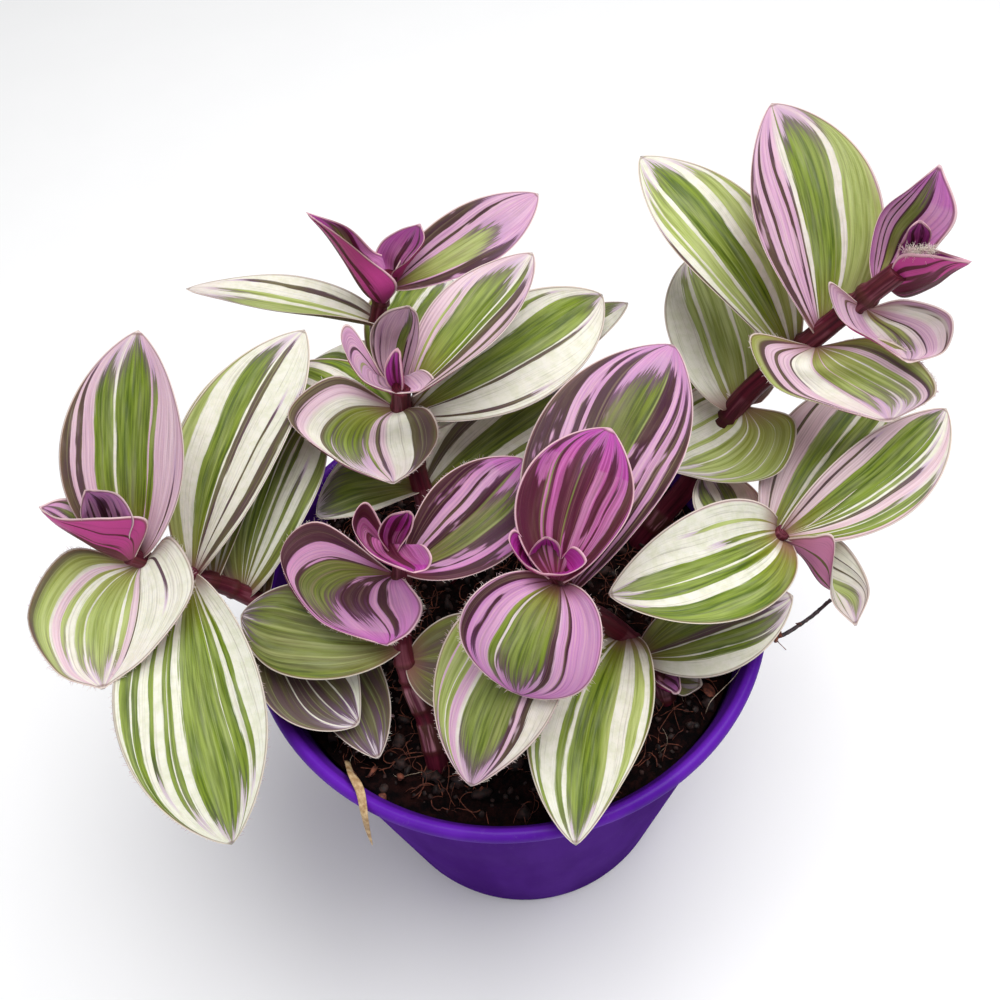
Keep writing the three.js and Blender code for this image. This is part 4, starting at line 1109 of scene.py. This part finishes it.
def build_pot():
    """The shell turned round its axis, from the foot up the outside and down the inside."""
    profile = [(0.4, 0), (20, 0), (FOOT_RADIUS - 1.6, 0), (FOOT_RADIUS - 0.6, 0.25), (FOOT_RADIUS, 1.4)]
    profile += [(outer_radius(z), z) for z in np.linspace(4, WALL_TOP - 1.2, 24)]
    profile += [(UNDER_LIP - 0.05, WALL_TOP - 0.5), (UNDER_LIP + 0.25, WALL_TOP - 0.1)]
    for degrees in range(-80, 181, 12):
        a = math.radians(degrees)
        radius = RIM_RADIUS - LIP_ACROSS + LIP_ACROSS * math.cos(a)
        profile.append((radius, POT_HEIGHT - LIP_UP + LIP_UP * math.sin(a)))
    profile += [(outer_radius(z) - WALL, z) for z in np.linspace(WALL_TOP - 0.6, 4.5, 20)]
    inside = FOOT_RADIUS - WALL
    profile += [(inside - 0.6, FLOOR_THICKNESS + 0.5), (inside - 2, FLOOR_THICKNESS), (0.4, FLOOR_THICKNESS)]
    where = np.arange(len(profile) * POT_SIDES).reshape(-1, POT_SIDES)
    where = np.concatenate([where, where[:1]])
    shape = Shape()
    shape.add(rings(profile, angles_round(POT_SIDES)), grid_quads(closed(where)))
    pot = shape.make("grower_pot", POT_PLASTIC)
    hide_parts("pot")


# Soil

def soil_height(x, y):
    """The height of the peat's surface, with low mounds and ripples."""
    r = np.hypot(x, y)
    z = SOIL_TOP + 0.5 - 1.3 * (r / SOIL_EDGE) ** 6
    z = z + 0.55 * np.sin(x / 7.3 + 1.2) * np.cos(y / 6.1) + 0.4 * np.sin(x / 2.9 + y / 3.7)
    z = z + 0.25 * np.sin(x * 1.7 + 2 * np.cos(y * 0.9)) + 0.2 * np.sin(y * 2.1 + 2 * np.sin(x * 1.3))
    return z


def build_soil():
    """The peat's cloddy surface, closed below by a plain bed that the pot hides."""
    radius = SOIL_EDGE * np.linspace(0.01, 1, SOIL_RINGS) ** 0.9
    angle = angles_round(SOIL_SIDES)
    x, y = radius[:, None] * np.cos(angle), radius[:, None] * np.sin(angle)
    clods = np.random.default_rng(SEEDS["clods"]).normal(size=x.shape) * CLOD_SIZE
    top = np.stack([x, y, soil_height(x, y) + clods], -1)
    bed = [(SOIL_EDGE - 0.3, 92), (SOIL_EDGE - 2.5, SOIL_BED), (0.5, SOIL_BED)]
    points = np.concatenate([top, rings(bed, angle)])
    where = np.arange(len(points) * SOIL_SIDES).reshape(-1, SOIL_SIDES)
    skin = grid_quads(closed(where)[:, ::-1])
    shape = Shape()
    shape.add(points, skin + [where[0].tolist(), where[-1, ::-1].tolist()])
    soil = shape.make("peat", PEAT)
    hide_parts("soil")


def ball():
    """Points and faces of a small round stone."""
    bm = bmesh.new()
    bmesh.ops.create_icosphere(bm, subdivisions=2, radius=1)
    bm.verts.index_update()
    points = np.array([vertex.co[:] for vertex in bm.verts])
    faces = [[vertex.index for vertex in face.verts] for face in bm.faces]
    bm.free()
    return points, faces


BALL = ball()


def add_stone(shape, place, size, flat, draw):
    """A lumpy crumb, longer one way and flatter another."""
    points, faces = BALL
    bent = points * (1 + 0.28 * np.sin(points @ draw.normal(size=(3, 1)) * 3 + draw.random() * 6))
    sized = bent * draw.uniform(0.5, 1.3, 3) * [1, 1, flat] * size
    shape.add(sized @ np.linalg.qr(draw.normal(size=(3, 3)))[0] + place, faces)


def spot_on_soil(draw, inset):
    """A place drawn anywhere on the soil, but not within the inset of its edge."""
    r = (SOIL_EDGE - inset) * math.sqrt(draw.random())
    a = draw.random() * 2 * math.pi
    return r * math.cos(a), r * math.sin(a)


def build_crumbs():
    draw = np.random.default_rng(SEEDS["crumbs"])
    shape = Shape()
    for _ in range(CRUMB_COUNT):
        x, y = spot_on_soil(draw, 1.5)
        size = 0.4 + 1.5 * draw.random() ** 3
        add_stone(shape, [x, y, float(soil_height(x, y)) + 0.2 * size], size, 1.0, draw)
    crumbs = shape.make("peat_crumbs", CRUMB)


# The steps in which a fibre wanders
FIBRE_STEPS = 8


def add_fibre(shape, draw, start, pace, width, lift):
    """One root fibre that wanders over the soil from its start."""
    x, y = start
    heading, bend = draw.random() * 6.28, draw.normal() * 0.2
    line = []
    for k in range(FIBRE_STEPS + 1):
        if math.hypot(x, y) > SOIL_EDGE - 0.6:
            break
        line.append((x, y, float(soil_height(x, y)) + 0.15 + lift * math.sin(math.pi * k / FIBRE_STEPS)))
        heading += bend + draw.normal() * 0.22
        x += pace * math.cos(heading)
        y += pace * math.sin(heading)
    if len(line) > 3:
        add_tube(shape, np.array(line), width * np.linspace(1, 0.5, len(line)), 5, across=(0.3, 0.8, 0.5))


# Where some root fibres lie in a tangle on the rim beside the twig, in millimetres
TANGLE = (55.4, -20, 106)


def build_fibres():
    draw = np.random.default_rng(SEEDS["fibres"])
    shape = Shape()
    for _ in range(FIBRE_COUNT):
        width, lift = draw.uniform(0.06, 0.17), draw.uniform(0.2, 1.8)
        add_fibre(shape, draw, spot_on_soil(draw, 2), draw.uniform(0.4, 1.2), width, lift)
    for _ in range(TANGLE_COUNT):
        start = np.array(TANGLE) + draw.uniform(-1, 1, 3) * [2.2, 3, 0.4]
        run, bend = draw.uniform(-1, 1, (2, 3)) * [[2, 2.4, 0.5], [1.5, 2, 1.2]]
        steps = np.linspace(0, 1, 7)[:, None]
        line = start + run * steps + bend * steps ** 2
        add_tube(shape, line, [draw.uniform(0.06, 0.18)] * len(line), 5)
    fibres = shape.make("root_fibres", FIBRE)


# One long pale root hair in front, its path in millimetres
LONG_ROOT = [(41, -33, 95), (42, -32, 98.5), (45, -30, 100), (48, -28, 101.5), (50, -26, 103.5)]


def build_root_hairs():
    draw = np.random.default_rng(SEEDS["root hairs"])
    shape = Shape()
    for _ in range(ROOT_HAIR_COUNT):
        start, pace = spot_on_soil(draw, 3), draw.uniform(0.4, 1.1)
        add_fibre(shape, draw, start, pace, draw.uniform(0.04, 0.07), draw.uniform(0.5, 1.8))
    centres, _ = curve_points(LONG_ROOT, 30)
    add_tube(shape, centres, np.linspace(0.12, 0.05, len(centres)), 6)
    roots = shape.make("pale_root_hairs", PALE_ROOT)


# Loose bits, their paths and places in millimetres

TWIG_PATH = [
    (42, -20.5, 97.5), (48.5, -21.5, 102), (53, -22.2, 106), (58, -22.4, 106.6),
    (65, -19.5, 107.6), (71, -16, 109),
]
STRIP_PATH = [
    (-38.5, -36, 96.8), (-37.3, -39.6, 100.5), (-36, -42.8, 105.4), (-34.2, -46.7, 106.2),
    (-33.6, -51.3, 104.4), (-34, -52.2, 98), (-34.2, -52.8, 91),
]

# Bits of bark on the soil and on the twig: the place and the size
BARK_BITS = [
    ((42.5, -28.5, 97), 1.9), ((39.5, -27.5, 96.6), 1.3), ((-33, -39, 97), 1.4), ((-31, -45, 96.8), 1.2),
    ((-27, -41, 97), 1.1), ((-10, -46, 96.8), 1.0), ((5, -49, 96.5), 1.3), ((18, -44, 96.8), 1.0),
]
TWIG_BITS = [
    ((58.5, -21.9, 107.1), 0.75), ((57.5, -22.9, 106.5), 0.6), ((54, -22.3, 106.6), 0.7),
    ((63, -20.4, 107.7), 0.55),
]


# The twig's radius, how far along it has knots, and how far they stand out
TWIG_RADIUS = 0.42
KNOTS = (9, 17, 25)
KNOT_HEIGHT = 0.10


def build_twig():
    draw = np.random.default_rng(SEEDS["twig"])
    sides = 12
    centres, walked = curve_points(TWIG_PATH, 60)
    knots = KNOT_HEIGHT * np.exp(-((walked[:, None] - np.array(KNOTS)) / 0.8) ** 2).sum(1)
    radii = (TWIG_RADIUS + knots)[:, None] * (1 + 0.12 * draw.normal(size=(len(centres), sides)))
    shape = Shape()
    add_tube(shape, centres, radii, sides)
    twig = shape.make("dark_twig", BARK)
    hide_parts("twig")


def build_bark_bits():
    draw = np.random.default_rng(SEEDS["bark"])
    shape = Shape()
    for place, size in BARK_BITS + TWIG_BITS:
        add_stone(shape, np.array(place, float), size, 0.6, draw)
    bits = shape.make("bark_bits", BARK_CRUMB)


def build_strip():
    centres, walked = curve_points(STRIP_PATH, 50)
    share = walked / walked[-1]
    radii = 0.95 * (1 - 0.85 * share ** 5) * (0.75 + 0.25 * smooth(share, 0, 0.3))
    shape = Shape()
    add_tube(shape, centres, radii, 16, squash=0.35, across=(0.8, -0.6, 0))
    strip = shape.make("dry_leaf_strip", STRAW)
    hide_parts("dry_strip")


# Camera, light and floor

def add_camera():
    """Looks down into the pot from the front: aimed at the rim's middle, then turned a little."""
    elevation = math.radians(CAMERA_ELEVATION)
    place = Vector((0, -math.cos(elevation), math.sin(elevation))) * CAMERA_DISTANCE
    ahead, right = -place.normalized(), Vector((1, 0, 0))
    ahead, up = turned(ahead, right.cross(ahead), math.radians(CAMERA_TILT))
    ahead, right = turned(ahead, right, math.radians(CAMERA_PAN))
    right, up = turned(right, up, math.radians(CAMERA_ROLL))
    data = bpy.data.cameras.new("camera")
    data.sensor_width = SENSOR_WIDTH
    data.lens = LENS
    data.clip_start = 0.01
    matrix = Matrix((right, up, -ahead)).transposed().to_4x4()
    matrix.translation = (place + Vector((0, 0, POT_HEIGHT))) * MM
    camera = add_object("camera", data)
    camera.matrix_world = matrix
    bpy.context.scene.camera = camera


def add_light(name, place, aim, size, power):
    data = bpy.data.lights.new(name, "AREA")
    data.size = size
    data.energy = power
    light = add_object(name, data)
    light.location = place
    light.rotation_euler = (Vector(aim) - Vector(place)).to_track_quat("-Z", "Y").to_euler()


def add_surroundings():
    """Even light from above and a pale floor, all in metres."""
    world = bpy.data.worlds.new("studio")
    world.use_nodes = True
    background = world.node_tree.nodes["Background"]
    background.inputs[0].default_value = SKY_COLOUR
    background.inputs[1].default_value = SKY_STRENGTH
    bpy.context.scene.world = world
    add_light("softbox", place=(0.2, 0.05, 1.1), aim=(0, 0, 0.12), size=0.9, power=12.5)
    add_light("front_fill", place=(-0.35, -0.55, 0.6), aim=(0, 0, 0.1), size=0.5, power=0.9)
    mesh = bpy.data.meshes.new("floor")
    corners = [(x * FLOOR_HALF, y * FLOOR_HALF, 0) for x, y in ((-1, -1), (1, -1), (1, 1), (-1, 1))]
    mesh.from_pydata(corners, [], [(0, 1, 2, 3)])
    mesh.materials.append(floor_material())
    floor = add_object("floor", mesh)
    bpy.context.scene.view_settings.view_transform = "Standard"


add_camera()
add_surroundings()
build_pot()
build_soil()
build_crumbs()
build_fibres()
build_root_hairs()
fringes = []
for letter in STEMS:
    build_stem(letter)
    build_leaves(letter, fringes)
build_hairs(fringes)
build_twig()
build_bark_bits()
build_strip()
